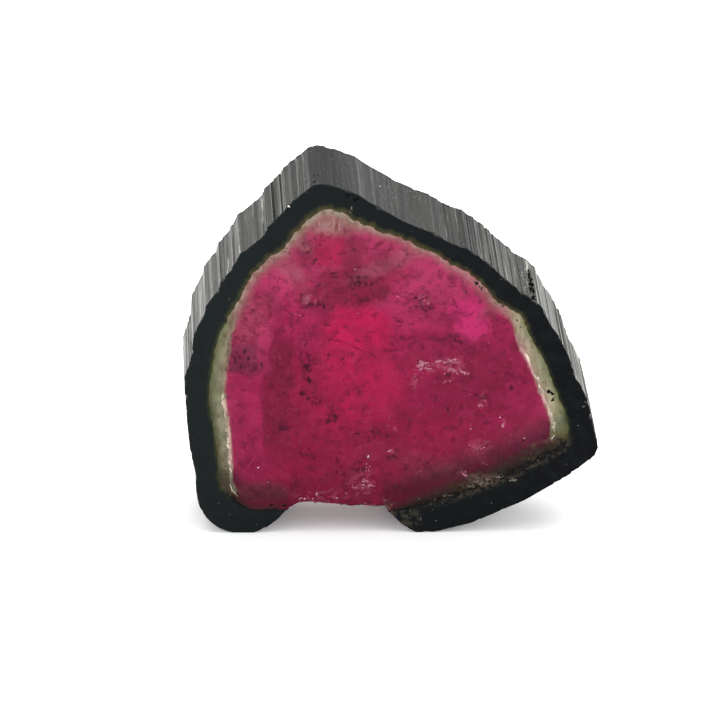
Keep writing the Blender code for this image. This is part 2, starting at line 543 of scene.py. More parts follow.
def shape_core_wall(bm, station):
    """Flares the wall into the rind just below the polish, and roughens the broken wall of the notch."""
    away = {}
    for place, direction in zip(rind_edge, outward(rind_edge, reach=BROAD // 2)):
        away[(round(place.x, 8), round(place.y, 8))] = direction
    for vert in bm.verts:
        kind = round(vert[station])
        depth = min(vert.co.y - FRONT, BACK - vert.co.y)
        if kind == AT_RIND and depth > 0.01 * MM:
            direction = away.get((round(vert.co.x, 8), round(vert.co.z, 8)))
            if direction is not None:
                vert.co.x += direction.x * FLARE
                vert.co.z += direction.y * FLARE
        elif kind == AT_NOTCH:
            bump = noise.noise(vert.co / ROUGH_CELLS[0]) + 0.5 * noise.noise(vert.co / ROUGH_CELLS[1])
            below = min(1.0, depth / (0.15 * MM) + 0.15)
            vert.co.z += NOTCH_ROUGHNESS * max(0.0, 0.6 + bump) * below


# %% Build the core
def build_core():
    """The see-through solid inside the rind, its face drawn as nested growth zones."""
    dice = random.Random(31)
    open_wall = finer(notch, OPEN_WALL_STEP)[1:-1]
    open_wall = [p + Vector((0.0, dice.uniform(0.0, OPEN_WALL_STRAY) * MM)) for p in open_wall]
    up = Vector((0.0, 1.0))
    bm = bmesh.new()
    zone = bm.verts.layers.float.new(ZONE)
    station = bm.verts.layers.float.new(STATION)
    numbers = [(0.0, AT_RIND)] * len(rind_edge) + [(PURE_PINK, AT_NOTCH)] * len(open_wall)
    verts, edges = chain(bm, rind_edge + open_wall, [zone, station], numbers, closed=True)
    for band, number, step in zone_rings():
        places = band + [p + up * step * MM for p in open_wall]
        values = [number] * len(band) + [PURE_PINK] * len(open_wall)
        verts, edges = grow(bm, verts, edges, places, zone, values)
        for vert in verts:
            vert[station] = 0.0
    bmesh.ops.triangle_fill(bm, edges=edges, use_beauty=True, normal=(0, -1, 0))
    through_the_slab(bm, mirrored_rows(CORE_ROW_DEPTHS))
    shape_core_wall(bm, station)
    return finish_piece(bm, "core", [clear_crystal])


clear_crystal = blank_finish("clear_pink_crystal")
build_core()

# %% [markdown]
# ## What is sealed in the crystal
# Pink tourmaline is seldom clean. It holds specks and threads of darker crystal and fluid, and where such
# a thread reaches the polish it chips and shows as a pale flake. Each is a small jagged ball here: an
# icosphere squashed, turned and roughened, of only twenty faces because there are hundreds. Dark ones are
# sealed inside the core. The pale ones lie in the polish and stand a few thousandths of a millimetre
# proud of it, as dust and chips do.

# %% Shards and where they may lie
LEAN = Vector((-0.046, 0.333))  # mm sideways and up, for each mm of depth, along which the zones drift
JAGGED = 0.42  # how far a shard's corners stray, as a share of its size


def shard(bm, place, size, dice, turn=None):
    """A small jagged crystal with its middle at place, size giving its three half-widths."""
    made = bmesh.ops.create_icosphere(bm, subdivisions=1, radius=1.0)["verts"]
    for vert in made:
        vert.co *= 1 + dice.uniform(-JAGGED, JAGGED)
    if turn is None:
        turn = Euler([dice.uniform(0, math.tau) for _ in range(3)])
    shape = Matrix.Translation(place) @ turn.to_matrix().to_4x4() @ Matrix.Diagonal((*size, 1.0))
    bmesh.ops.transform(bm, matrix=shape, verts=made)


def within(ring, place):
    """Whether a place (x, z) lies inside a closed ring of points."""
    inside = False
    for a, b in zip(ring, ring[1:] + ring[:1]):
        if (a.y > place.y) != (b.y > place.y):
            crossing = a.x + (b.x - a.x) * (place.y - a.y) / (b.y - a.y)
            inside = inside != (place.x < crossing)
    return inside


pink_ring = pink_edge[::6] + notch


def below_the_polish(seen, depth):
    """The point at that depth which shows at the place seen (x, z in mm) on the front face."""
    x, z = (Vector(seen) - LEAN * depth) * MM
    return Vector((x, FRONT + depth * MM, z))


# %% Dark flecks
FLECK_CLUSTERS = [  # x, z, spread in x and z, count, largest half-width; all in mm
    (-3.4, 16.2, 0.40, 0.14, 18, 0.13), (-2.2, 15.8, 0.50, 0.26, 34, 0.15),
    (-1.7, 14.8, 0.50, 0.22, 26, 0.14), (-5.15, 15.0, 0.09, 0.10, 10, 0.20),
    (-4.2, 14.5, 0.20, 0.09, 14, 0.24), (-4.9, 14.3, 0.22, 0.06, 8, 0.14),
    (1.3, 14.9, 0.35, 0.14, 14, 0.15), (1.6, 14.3, 0.36, 0.14, 18, 0.17),
    (0.5, 13.2, 0.40, 0.30, 10, 0.14), (-8.1, 11.0, 0.50, 0.30, 26, 0.20),
    (-8.0, 13.5, 0.40, 0.70, 14, 0.15), (-4.88, 12.3, 0.14, 0.20, 10, 0.20),
    (-4.76, 10.7, 0.16, 0.30, 16, 0.22), (-4.51, 9.7, 0.14, 0.22, 12, 0.20),
    (-4.90, 8.9, 0.12, 0.12, 9, 0.24), (-4.30, 8.4, 0.20, 0.12, 9, 0.18),
    (-3.31, 7.3, 0.16, 0.14, 12, 0.25), (-3.26, 8.0, 0.16, 0.20, 10, 0.16),
    (-6.0, 9.1, 0.30, 0.40, 16, 0.14), (-6.3, 7.2, 0.30, 0.80, 16, 0.14),
    (-5.8, 6.7, 0.24, 0.10, 9, 0.20), (-7.96, 5.8, 0.12, 0.08, 5, 0.15),
    (-7.3, 11.6, 0.10, 0.10, 4, 0.12), (-3.5, 11.2, 0.14, 0.10, 5, 0.14),
    (-2.8, 10.8, 0.16, 0.10, 6, 0.15), (-2.6, 9.9, 0.10, 0.10, 3, 0.13), (-1.9, 9.1, 0.12, 0.12, 6, 0.15),
    (-1.8, 8.0, 0.20, 0.07, 6, 0.16), (-2.2, 6.2, 0.14, 0.12, 5, 0.14), (-4.5, 5.1, 0.50, 0.20, 14, 0.20),
    (0.6, 11.9, 0.75, 0.25, 14, 0.18), (3.3, 12.3, 0.60, 0.30, 16, 0.18),
    (4.6, 9.6, 1.30, 1.20, 34, 0.16), (6.4, 9.7, 0.40, 0.30, 12, 0.18), (4.5, 8.7, 0.30, 0.12, 9, 0.16),
    (2.2, 6.3, 2.60, 0.80, 40, 0.17), (-2.2, 3.9, 2.20, 0.60, 36, 0.20), (2.0, 4.2, 1.80, 0.60, 30, 0.20),
    (0.1, 4.9, 0.40, 0.20, 10, 0.24), (-7.2, 3.8, 0.20, 0.20, 6, 0.16), (0.0, 2.6, 0.30, 0.30, 9, 0.18),
    (-4.6, 17.3, 0.30, 0.60, 14, 0.20), (-5.0, 18.4, 0.30, 0.20, 9, 0.14),
    (-0.9, 17.6, 0.80, 0.40, 14, 0.12), (2.4, 16.0, 1.10, 0.50, 16, 0.12),
    (-0.4, 9.2, 0.70, 0.60, 10, 0.12), (3.6, 14.9, 0.40, 0.30, 7, 0.12), (5.6, 12.6, 0.30, 0.60, 8, 0.12),
]
LOOSE_FLECKS = 120
LOOSE_LARGEST = 0.10
HANDFUL = 60
FLECK_LEAST = 0.026
FLECK_MOST = 0.19
CROWDING = 1.7
SEALED = 0.010 * MM  # the polish cuts the flecks off flat, this far down
SHALLOW = (0.0, 0.35)  # depth of a fleck's near side below the polish, in mm
DEEP = (0.30, 3.0)
DEEP_SHARE = 0.3
LOOSE_X, LOOSE_Z = (-9.0, 8.6), (2.5, 19.6)  # mm


# %% Build the dark flecks
def add_fleck(bm, seen, largest, dice):
    """One dark fleck, most often just under the polish; none is made where the core ends."""
    band = DEEP if dice.random() < DEEP_SHARE else SHALLOW
    half = FLECK_LEAST + (largest - FLECK_LEAST) * dice.random() ** 2
    depth = 0.7 * half + band[0] + (band[1] - band[0]) * dice.random() ** 2
    place = below_the_polish(seen, depth)
    if not (within(pink_ring, Vector((place.x, place.z))) and within(pink_ring, Vector(seen) * MM)):
        return
    size = [half, half * dice.uniform(0.25, 0.5), half * dice.uniform(0.22, 0.6)]
    shard(bm, place, [s * MM for s in size], dice)


def join_into(bm, small):
    """Adds a small bmesh to a large one and frees it; shards are quicker to make a handful at a time."""
    handful = bpy.data.meshes.new("handful")
    small.to_mesh(handful)
    small.free()
    bm.from_mesh(handful)
    bpy.data.meshes.remove(handful)


def build_dark_flecks():
    dice = random.Random(41)
    bm = bmesh.new()
    for x, z, spread_x, spread_z, count, largest in FLECK_CLUSTERS:
        small = bmesh.new()
        for _ in range(round(count * CROWDING)):
            seen = (dice.gauss(x, spread_x), dice.gauss(z, spread_z))
            add_fleck(small, seen, min(largest, FLECK_MOST), dice)
        join_into(bm, small)
    for _ in range(LOOSE_FLECKS // HANDFUL):
        small = bmesh.new()
        for _ in range(HANDFUL):
            seen = (dice.uniform(*LOOSE_X), dice.uniform(*LOOSE_Z))
            add_fleck(small, seen, LOOSE_LARGEST, dice)
        join_into(bm, small)
    for vert in bm.verts:
        vert.co.y = max(vert.co.y, FRONT + SEALED)
    return finish_piece(bm, "dark_flecks", [dark_mineral])


dark_mineral = blank_finish("dark_sealed_mineral")
build_dark_flecks()

# %% Pale flakes in the polish
FLAKE_CLUSTERS = [  # x, z, spread in x and z, count, largest half-width (mm), slant (degrees)
    (1.45, 10.72, 0.14, 0.11, 20, 0.20, 25), (1.75, 10.50, 0.14, 0.08, 10, 0.15, -40),
    (2.30, 10.95, 0.28, 0.05, 16, 0.14, 5), (2.95, 10.88, 0.25, 0.06, 18, 0.20, -8),
    (3.28, 10.84, 0.10, 0.05, 9, 0.12, 0), (3.00, 10.42, 0.22, 0.07, 13, 0.17, -30),
    (3.60, 10.24, 0.22, 0.06, 16, 0.20, -15), (2.60, 10.60, 0.60, 0.20, 14, 0.06, 0),
    (1.12, 9.95, 0.10, 0.30, 12, 0.08, 80), (2.55, 9.63, 0.35, 0.05, 11, 0.08, 0),
    (3.07, 9.85, 0.05, 0.25, 8, 0.07, 85), (-1.43, 3.22, 0.15, 0.17, 26, 0.13, 40),
    (-1.05, 3.05, 0.10, 0.08, 8, 0.09, 0), (-1.23, 4.00, 0.06, 0.32, 11, 0.07, 85),
    (-1.96, 2.95, 0.08, 0.07, 8, 0.09, 30), (-1.50, 2.62, 0.20, 0.08, 12, 0.07, 20),
    (-2.60, 2.60, 0.60, 0.20, 14, 0.05, 0), (-4.54, 2.20, 0.32, 0.03, 18, 0.10, 0),
    (-3.97, 2.48, 0.05, 0.04, 5, 0.08, 0), (-3.48, 2.52, 0.06, 0.05, 5, 0.06, 60),
    (-2.85, 2.26, 0.12, 0.04, 9, 0.09, -20), (-2.20, 2.50, 0.20, 0.15, 8, 0.06, 0),
    (4.86, 8.62, 0.05, 0.12, 7, 0.09, 60), (4.70, 8.20, 0.06, 0.12, 9, 0.10, 70),
    (5.03, 8.35, 0.04, 0.12, 6, 0.08, -70), (6.02, 6.85, 0.04, 0.12, 7, 0.10, 85),
    (5.85, 7.35, 0.05, 0.06, 3, 0.06, 0), (4.28, 6.95, 0.05, 0.16, 7, 0.09, 85),
    (4.63, 5.56, 0.28, 0.08, 14, 0.09, 10), (4.85, 5.40, 0.20, 0.08, 8, 0.07, 0),
    (4.03, 5.38, 0.06, 0.05, 4, 0.07, 0), (4.03, 3.80, 0.08, 0.15, 10, 0.10, 80),
    (5.07, 4.48, 0.12, 0.05, 5, 0.06, 0), (0.03, 5.34, 0.11, 0.06, 8, 0.11, -15),
    (0.10, 6.73, 0.10, 0.06, 4, 0.06, 0), (0.35, 6.10, 0.05, 0.30, 6, 0.06, 80),
    (1.45, 14.62, 0.13, 0.10, 12, 0.10, -20), (1.30, 14.95, 0.10, 0.05, 5, 0.07, 0),
    (-4.84, 14.80, 0.07, 0.10, 7, 0.11, 62), (-5.00, 12.10, 0.08, 0.12, 5, 0.06, 60),
    (-6.30, 8.60, 0.12, 0.10, 5, 0.05, 30), (-6.63, 3.33, 0.05, 0.16, 5, 0.07, 70),
    (-5.30, 13.80, 0.24, 0.16, 8, 0.06, 20), (-2.00, 16.55, 0.40, 0.12, 6, 0.05, 0),
    (-3.90, 13.10, 0.30, 0.30, 6, 0.05, 40), (7.50, 5.60, 0.20, 0.20, 5, 0.05, 0),
]
FRINGE_CHIPS = [  # the same, in the dark fringe at the foot and on the upper band
    (4.37, 3.00, 0.18, 0.10, 26, 0.07, 20), (5.05, 3.32, 0.34, 0.14, 70, 0.07, 20),
    (5.75, 3.68, 0.22, 0.12, 34, 0.07, 20), (3.25, 2.40, 0.18, 0.03, 12, 0.09, 12),
    (6.73, 3.39, 0.10, 0.07, 14, 0.09, 30), (8.80, 6.12, 0.08, 0.08, 10, 0.09, 60),
    (9.13, 5.75, 0.12, 0.16, 12, 0.06, 0), (7.90, 4.90, 0.50, 0.20, 18, 0.05, 20),
    (2.30, 1.90, 0.50, 0.14, 14, 0.05, 15), (-6.60, 16.90, 0.12, 0.30, 12, 0.06, 50),
    (-5.90, 17.80, 0.16, 0.20, 10, 0.07, 50), (-3.60, 20.05, 0.40, 0.06, 9, 0.06, 0),
    (4.10, 15.60, 0.30, 0.20, 14, 0.06, -40), (2.80, 16.60, 0.80, 0.30, 12, 0.05, -30),
    (5.60, 14.20, 0.20, 0.20, 8, 0.06, -50), (-7.60, 15.90, 0.15, 0.30, 10, 0.06, 60),
    (-2.62, 20.28, 0.03, 0.07, 6, 0.07, 65), (-2.83, 20.02, 0.09, 0.03, 6, 0.06, 0),
]
EVERYWHERE = (0.0, 10.0, 4.5, 5.0, 60, 0.055, 0)  # the loose flakes, one very wide cluster
FLAKE_LEAST = 0.018
FLAKE_HALF_THICKNESS = 0.0040
SLANT_SPREAD = 28
SLIVERS = (0.18, 0.55)  # width of a flake as a share of its length, least and most
CRUMBS = (0.35, 0.85)


# %% Build the flakes
def flat_flake(bm, seen, half, face_y, dice, slim=SLIVERS, slant=None, spread=SLANT_SPREAD):
    """A thin flake set in a polished face, its long way along slant (degrees), or turned at random."""
    size = (half * MM, FLAKE_HALF_THICKNESS * MM, half * dice.uniform(*slim) * MM)
    angle = dice.uniform(0, 180) if slant is None else dice.gauss(slant, spread)
    turn = Euler((0.0, -math.radians(angle), 0.0))
    shard(bm, Vector((seen[0] * MM, face_y, seen[1] * MM)), size, dice, turn)


def scatter_flakes(bm, clusters, ring, face_y, slim, dice):
    """Flat flakes in clusters, kept to the inside of a ring."""
    for x, z, spread_x, spread_z, count, largest, slant in clusters:
        small = bmesh.new()
        for _ in range(count):
            seen = (dice.gauss(x, spread_x), dice.gauss(z, spread_z))
            half = FLAKE_LEAST + (largest - FLAKE_LEAST) * dice.random() ** 1.5
            if within(ring, Vector(seen) * MM):
                flat_flake(small, seen, half, face_y, dice, slim, slant)
        join_into(bm, small)


def build_flakes(name, finish, clusters, ring, slim, dice):
    """The same clusters of flakes on both polished faces."""
    bm = bmesh.new()
    for face_y in (FRONT, BACK):
        scatter_flakes(bm, clusters, ring, face_y, slim, dice)
    return finish_piece(bm, name, [finish])


pale_flake = blank_finish("pale_chipped_flake")
fringe_chip = blank_finish("olive_fringe_chip")
clusters = FLAKE_CLUSTERS + [EVERYWHERE]
build_flakes("pale_flakes", pale_flake, clusters, pink_ring, SLIVERS, random.Random(43))
build_flakes("fringe_chips", fringe_chip, FRINGE_CHIPS, section, CRUMBS, random.Random(44))

# %% [markdown]
# Between the pink and the green runs a thin line where the crystal is finely cracked. It shows as a row
# of cream chips along the lower part of each flank. They follow the pink edge, overlap, and leave gaps.

# %% Cream line
CREAM_RUNS = [(-1, 2.3, 8.9), (1, 6.1, 11.4)]  # side, and the heights the line runs between (mm)
CREAM_STEPS = 90
CREAM_HALF_LENGTH = (0.05, 0.17)
CREAM_SPREAD = 0.035
CREAM_GAPS = 0.34  # share of the steps with no chip
CREAM_SLIM = (0.12, 0.36)
CREAM_OUT = 0.07
CREAM_TURN = 8  # degrees either way
PATCH_CELL = 0.5 * MM
PATCHINESS = 1.6
LIP_STEPS = 60
LIP_STEP = 0.05 * MM
LIP_IN = 0.06


# %% Build the cream line and the lip
def flakes_along(bm, line, directions, steps, out, face_y, dice):
    """Slim flakes along a line, with gaps, set off it by about out (mm)."""
    small = bmesh.new()
    for step in range(steps):
        k = step * len(line) // steps
        patchy = noise.noise(Vector((line[k].x, line[k].y, MM)) / PATCH_CELL)
        if dice.random() < CREAM_GAPS + max(0.0, patchy) * PATCHINESS:
            continue
        place = line[k] / MM + directions[k] * dice.gauss(out, CREAM_SPREAD)
        slant = math.degrees(math.atan2(directions[k].x, -directions[k].y))
        half = dice.uniform(*CREAM_HALF_LENGTH)
        flat_flake(small, place, half, face_y, dice, CREAM_SLIM, slant, CREAM_TURN)
    join_into(bm, small)


def build_cream_line():
    dice = random.Random(48)
    bm = bmesh.new()
    for side, low, high in CREAM_RUNS:
        run = [k for k, p in enumerate(pink_edge) if p.x * side > 0 and low * MM < p.y < high * MM]
        for face_y in (FRONT, BACK):
            line = [pink_edge[k] for k in run]
            flakes_along(bm, line, [zone_out[k] for k in run], CREAM_STEPS, CREAM_OUT, face_y, dice)
    return finish_piece(bm, "cream_line", [cream_chip])


def build_dark_lip():
    """The dark chipped lip of the polish above the notch."""
    dice = random.Random(49)
    bm = bmesh.new()
    lip = finer(notch, LIP_STEP)[2:-2]
    inwards = [Vector((0.0, 1.0))] * len(lip)
    for face_y in (FRONT, BACK):
        flakes_along(bm, lip, inwards, LIP_STEPS, LIP_IN, face_y, dice)
    return finish_piece(bm, "dark_lip", [dark_mineral])


cream_chip = blank_finish("cream_chip")
build_cream_line()
build_dark_lip()

# %% White specks and black pits
WHITE_SPECKS = [  # x, z, half-width; all in mm
    (-1.26, 4.92, 0.085), (-5.90, 20.36, 0.075), (-7.21, 4.22, 0.045), (6.02, 6.80, 0.045),
    (7.20, 6.09, 0.035), (5.80, 7.39, 0.035), (-3.97, 2.50, 0.035), (-4.62, 2.20, 0.045),
    (-2.85, 2.24, 0.032), (-2.32, 16.59, 0.035), (-1.91, 16.55, 0.020), (10.05, 6.89, 0.030),
]
BLACK_PITS = [
    (4.07, 15.78, 0.15), (4.36, 15.46, 0.13), (5.62, 14.36, 0.10), (5.30, 14.62, 0.08),
    (8.45, 8.87, 0.23), (8.55, 8.52, 0.13), (5.98, 13.62, 0.05), (6.60, 13.05, 0.06), (6.39, 13.46, 0.08),
    (-2.90, 21.00, 0.12), (-2.42, 20.80, 0.15), (-6.44, 1.78, 0.12), (-5.75, 1.84, 0.14),
    (7.16, 5.90, 0.07), (-8.55, 12.10, 0.06), (-8.75, 10.40, 0.05), (-8.60, 9.10, 0.05),
    (-8.95, 7.60, 0.04), (-8.60, 6.50, 0.04),
]
GREY_CHIPS = [
    (-4.99, 21.17, 0.06), (-8.90, 14.77, 0.07), (-8.39, 17.52, 0.06), (10.40, 8.35, 0.09),
    (4.45, 2.25, 0.07), (1.74, 0.85, 0.10), (1.58, 2.20, 0.08), (10.30, 8.10, 0.11), (2.6, 0.75, 0.06),
    (5.6, 1.9, 0.05), (7.3, 2.5, 0.05), (9.8, 10.5, 0.05), (-7.2, 0.55, 0.05), (-9.3, 1.9, 0.07),
    (-8.7, 1.2, 0.06), (-10.7, 6.0, 0.05), (6.3, 16.4, 0.07), (5.4, 16.0, 0.05), (0.8, 0.62, 0.06),
    (1.2, 1.4, 0.07), (3.6, 1.3, 0.05), (9.6, 4.4, 0.05),
]
CRUMBS_IN_SPOT = 4
SPOT_CRUMB = (0.35, 0.75)  # half-length of a crumb as a share of its spot's half-width
SPOT_SLIM = (0.4, 0.9)
RING_DUST = 60
BLACK_DUST = 80
DUST_HALF_LENGTH = (0.010, 0.028)


# %% Build the specks and pits
def build_spots(name, finish, spots, dust, dice):
    """Single flat spots on both polished faces, with a finer dust of them strewn over the black ring."""
    bm = bmesh.new()
    for face_y in (FRONT, BACK):
        for x, z, half in spots:
            if not within(section, Vector((x, z)) * MM):
                continue
            for _ in range(CRUMBS_IN_SPOT):
                place = (x + half * dice.uniform(-0.6, 0.6), z + half * dice.uniform(-0.6, 0.6))
                flat_flake(bm, place, half * dice.uniform(*SPOT_CRUMB), face_y, dice, SPOT_SLIM)
        for _ in range(dust):
            edge = dice.choice(rind_outline[20:-20:3])
            inner = min(rind_edge[::5], key=lambda p: (p - edge).length)
            place = edge.lerp(inner, 0.05 + 0.9 * dice.random() ** 1.7) / MM
            flat_flake(bm, place, dice.uniform(*DUST_HALF_LENGTH), face_y, dice)
    return finish_piece(bm, name, [finish])


white_chip = blank_finish("white_chip")
black_pit = blank_finish("black_pit")
grey_chip = blank_finish("grey_chip")
rim_chip = blank_finish("pale_rim_chip")
build_spots("white_specks", white_chip, WHITE_SPECKS, 0, random.Random(45))
build_spots("black_pits", black_pit, BLACK_PITS, BLACK_DUST, random.Random(46))
build_spots("grey_chips", grey_chip, GREY_CHIPS, RING_DUST, random.Random(47))

# %% [markdown]
# One healed crack curves through the crimson middle, and the rim has a rough, pitted seam on its upper
# right. The crack is a row of vertices drawn back through the stone into a thin sheet. The seam is a
# groove in the wall, and shards of dark and pale mineral stand in and beside it. The apex face carries a
# few pits and scratches.

# %% Crack
CRACK = [  # x, z in mm
    (-3.69, 12.26), (-3.2, 12.2), (-2.72, 12.06), (-2.3, 11.84), (-1.8, 11.58), (-1.3, 11.36),
    (-0.93, 11.02),
]
CRACK_POINTS = 40
CRACK_DEPTHS = (0.015, 0.40)
CRACK_THICKNESS = 0.032 * MM
CRACK_GAPS = 0.28  # share of its steps where the crack has healed over
CRACK_STRAY = 0.045  # mm either way


def build_crack():
    dice = random.Random(51)
    bm = bmesh.new()
    line = []
    for point in smooth_path(CRACK, CRACK_POINTS):
        line.append([value + dice.uniform(-CRACK_STRAY, CRACK_STRAY) for value in point])
    verts = [bm.verts.new(below_the_polish(p, CRACK_DEPTHS[0])) for p in line]
    edges = [bm.edges.new(pair) for pair in zip(verts, verts[1:]) if dice.random() > CRACK_GAPS]
    bmesh.ops.delete(bm, geom=[vert for vert in verts if not vert.link_edges], context="VERTS")
    made = bmesh.ops.extrude_edge_only(bm, edges=edges)["geom"]
    deeper = [item for item in made if isinstance(item, bmesh.types.BMVert)]
    run = CRACK_DEPTHS[1] - CRACK_DEPTHS[0]
    bmesh.ops.translate(bm, verts=deeper, vec=Vector((-LEAN.x * run, run, -LEAN.y * run)) * MM)
    bmesh.ops.solidify(bm, geom=bm.faces[:], thickness=CRACK_THICKNESS)
    bmesh.ops.recalc_face_normals(bm, faces=bm.faces)
    return finish_piece(bm, "healed_crack", [dark_mineral])


build_crack()

# %% Shards on the rim
SCRATCHED = (-1.9, 1.6)  # the stretch of the apex face, in x (mm), that is scratched
SCRATCH_DEPTHS = (0.3, 4.0)  # mm
APEX_PITS = [(-4.62, 0.42), (-4.50, 0.36), (-4.52, 1.05), (-4.40, 1.00)]  # x, depth (mm)
UPPER_SIDE = 16 * MM
SEAM_START = 0.17  # mm below the front polish
SUNK = 0.7  # of its least half-width, how deep a shard's middle lies in the wall


def inward_3d(k):
    """The inward direction at a place of the outline, in space."""
    return Vector((rind_inward[k].x, 0.0, rind_inward[k].y))


def upper_place(x):
    """The place in the outline that lies at x (mm) on its upper side."""
    upper = [k for k, p in enumerate(rind_outline) if p.y > UPPER_SIDE]
    return min(upper, key=lambda k: abs(rind_outline[k].x - x * MM))


def build_rim_shards(name, finish, places, largest, dice):
    """Shards half sunk in the outer wall, one at each place of the outline and depth (mm)."""
    bm = bmesh.new()
    for k, depth in places:
        size = sorted(dice.uniform(0.3, 1.0) * largest * MM for _ in range(3))
        near = Vector((rind_outline[k].x, FRONT + depth * MM, rind_outline[k].y))
        shard(bm, near + inward_3d(k) * SUNK * size[0], size, dice)
    return finish_piece(bm, name, [finish])


def along_the_seam(count, sideways, dice):
    """Places in and beside the seam, evenly through its reach."""
    run = SEAM_REACH * THICKNESS / MM - SEAM_START
    places = []
    for step in range(count):
        k = seam_at + round(dice.gauss(*sideways))
        places.append((k, SEAM_START + run * (step + dice.random()) / count))
    return places


def scratch_places(count, dice):
    """Places strewn over the scratched stretch of the apex face."""
    places = []
    for _ in range(count):
        places.append((upper_place(dice.uniform(*SCRATCHED)), dice.uniform(*SCRATCH_DEPTHS)))
    return places


rim_dice = random.Random(52)
pit_places = along_the_seam(90, (0.0, 0.5), rim_dice)
pit_places += [(upper_place(x), depth) for x, depth in APEX_PITS]
build_rim_shards("rim_pits", black_pit, pit_places, 0.080, rim_dice)
chip_places = along_the_seam(60, (-2.6, 1.3), rim_dice) + scratch_places(16, rim_dice)
build_rim_shards("rim_chips", rim_chip, chip_places, 0.075, rim_dice)

# %% [markdown]
# At the right end of the notch the crystal has torn instead of snapping clean. Upright splinters of rusty
# and pale crystal bridge the corner there.

# %% Splinters at the notch
SPLINTERS = 26
SPLINTER_BOX = (-0.34, 0.26, 1.50, 2.20)  # least and greatest x, least and greatest z; all in mm
SPLINTER_HALF_LENGTH = (0.08, 0.30)
SPLINTER_SLIM = (0.08, 0.2)
SPLINTER_SLANT = 92  # degrees
SLOPE = 0.55  # how far the strip of splinters falls for each mm to the right


def build_splinters(name, finish, count, dice):
    bm = bmesh.new()
    left, right, low, high = SPLINTER_BOX
    for face_y in (FRONT, BACK):
        for _ in range(count):
            x = dice.uniform(left, right)
            z = dice.uniform(low, high) - SLOPE * (x - left)
            half = dice.uniform(*SPLINTER_HALF_LENGTH)
            if within(section, Vector((x, z - 0.6 * half)) * MM):
                flat_flake(bm, (x, z), half, face_y, dice, SPLINTER_SLIM, SPLINTER_SLANT)
    return finish_piece(bm, name, [finish])


rust = blank_finish("rusty_splinter")
build_splinters("rusty_splinters", rust, SPLINTERS, random.Random(54))
build_splinters("pale_splinters", fringe_chip, SPLINTERS // 3, random.Random(55))

# %% [markdown]
# ## Finishes
# A finish is a tree of nodes, and writing each node and link by hand would take pages. These helpers add
# a node, set it and link it in one call. Every pattern reads Object coordinates or a number stored on the
# mesh, so it stays on the stone when the view changes.

# %% Node helpers
def add(tree, kind, inputs=None, **settings):
    """A node with its settings and the values of its inputs; a socket given as a value is linked."""
    made = tree.nodes.new(kind)
    for key, value in settings.items():
        setattr(made, key, value)
    for key, value in (inputs or {}).items():
        if isinstance(value, bpy.types.NodeSocket):
            tree.links.new(value, made.inputs[key])
        else:
            made.inputs[key].default_value = value
    return made


def maths(tree, operation, *values, clamp=False):
    """The output of a Math node."""
    given = dict(enumerate(values))
    return add(tree, "ShaderNodeMath", given, operation=operation, use_clamp=clamp).outputs[0]


def product(tree, *values):
    """Masks and numbers multiplied together."""
    made = values[0]
    for value in values[1:]:
        made = maths(tree, "MULTIPLY", made, value)
    return made


def vector_maths(tree, operation, inputs):
    """The output of a Vector Math node."""
    return add(tree, "ShaderNodeVectorMath", inputs, operation=operation).outputs[0]


def laid_over(tree, below, above, *masks, blend="MIX"):
    """One colour laid over another, as far as all the masks let it."""
    given = {0: product(tree, *masks), 6: below, 7: above}
    return add(tree, "ShaderNodeMix", given, data_type="RGBA", blend_type=blend).outputs[2]


def ramp(tree, factor, stops):
    """The colour of a ramp with stops given as (place, colour)."""
    made = add(tree, "ShaderNodeValToRGB", {0: factor})
    elements = made.color_ramp.elements
    elements[0].position, elements[0].color = stops[0]
    elements[1].position, elements[1].color = stops[-1]
    for place, colour in stops[1:-1]:
        elements.new(place).color = colour
    return made.outputs[0]


def map_range(tree, value, low, high, to_low=0.0, to_high=1.0, smooth=False):
    """A value carried from one range to another, held at its ends."""
    made = add(tree, "ShaderNodeMapRange", {0: value, 1: low, 2: high, 3: to_low, 4: to_high})
    made.interpolation_type = "SMOOTHSTEP" if smooth else "LINEAR"
    return made.outputs[0]


# %% Helpers for places and noises
def object_place(tree, stretch=(1.0, 1.0, 1.0)):
    """Object coordinates in millimetres, stretched along an axis where stretch is under 1."""
    place = add(tree, "ShaderNodeTexCoord").outputs["Object"]
    scale = [s / MM for s in stretch]
    return add(tree, "ShaderNodeMapping", {"Vector": place, "Scale": scale}).outputs[0]


def axes_of(tree, place):
    """The outputs "X", "Y" and "Z" of a place."""
    return add(tree, "ShaderNodeSeparateXYZ", {0: place}).outputs


def fade(tree, axes, axis, off, on):
    """A mask that is 0 at one place along an axis (mm) and 1 at another."""
    return map_range(tree, axes[axis], off, on)


def grain(tree, place, scale, detail, roughness=0.5):
    """The value of a noise of that scale, per millimetre."""
    given = {"Vector": place, "Scale": scale, "Detail": detail, "Roughness": roughness}
    return add(tree, "ShaderNodeTexNoise", given).outputs[0]


def waver(tree, place, swing, scale, detail, roughness=0.5):
    """A noise around zero that swings by up to that much either way."""
    value = grain(tree, place, scale, detail, roughness)
    return maths(tree, "MULTIPLY_ADD", value, 2 * swing, -swing)


# %% Helpers for finishes
def shader_of(material):
    """The Principled shader of a material, and its node tree."""
    tree = material.node_tree
    return tree.nodes["Principled BSDF"], tree


def set_evenly(shader, values):
    """Values that are the same all over a piece, set on the shader's own sockets."""
    for name, value in values.items():
        shader.inputs[name].default_value = value


def rgb(red, green, blue):
    """A linear colour with full alpha."""
    return (red, green, blue, 1.0)


def say_nodes(material):
    """Prints how many nodes a finish has."""
    print(material.name, "nodes:", len(material.node_tree.nodes))


print("finishes to build:", len(bpy.data.materials))

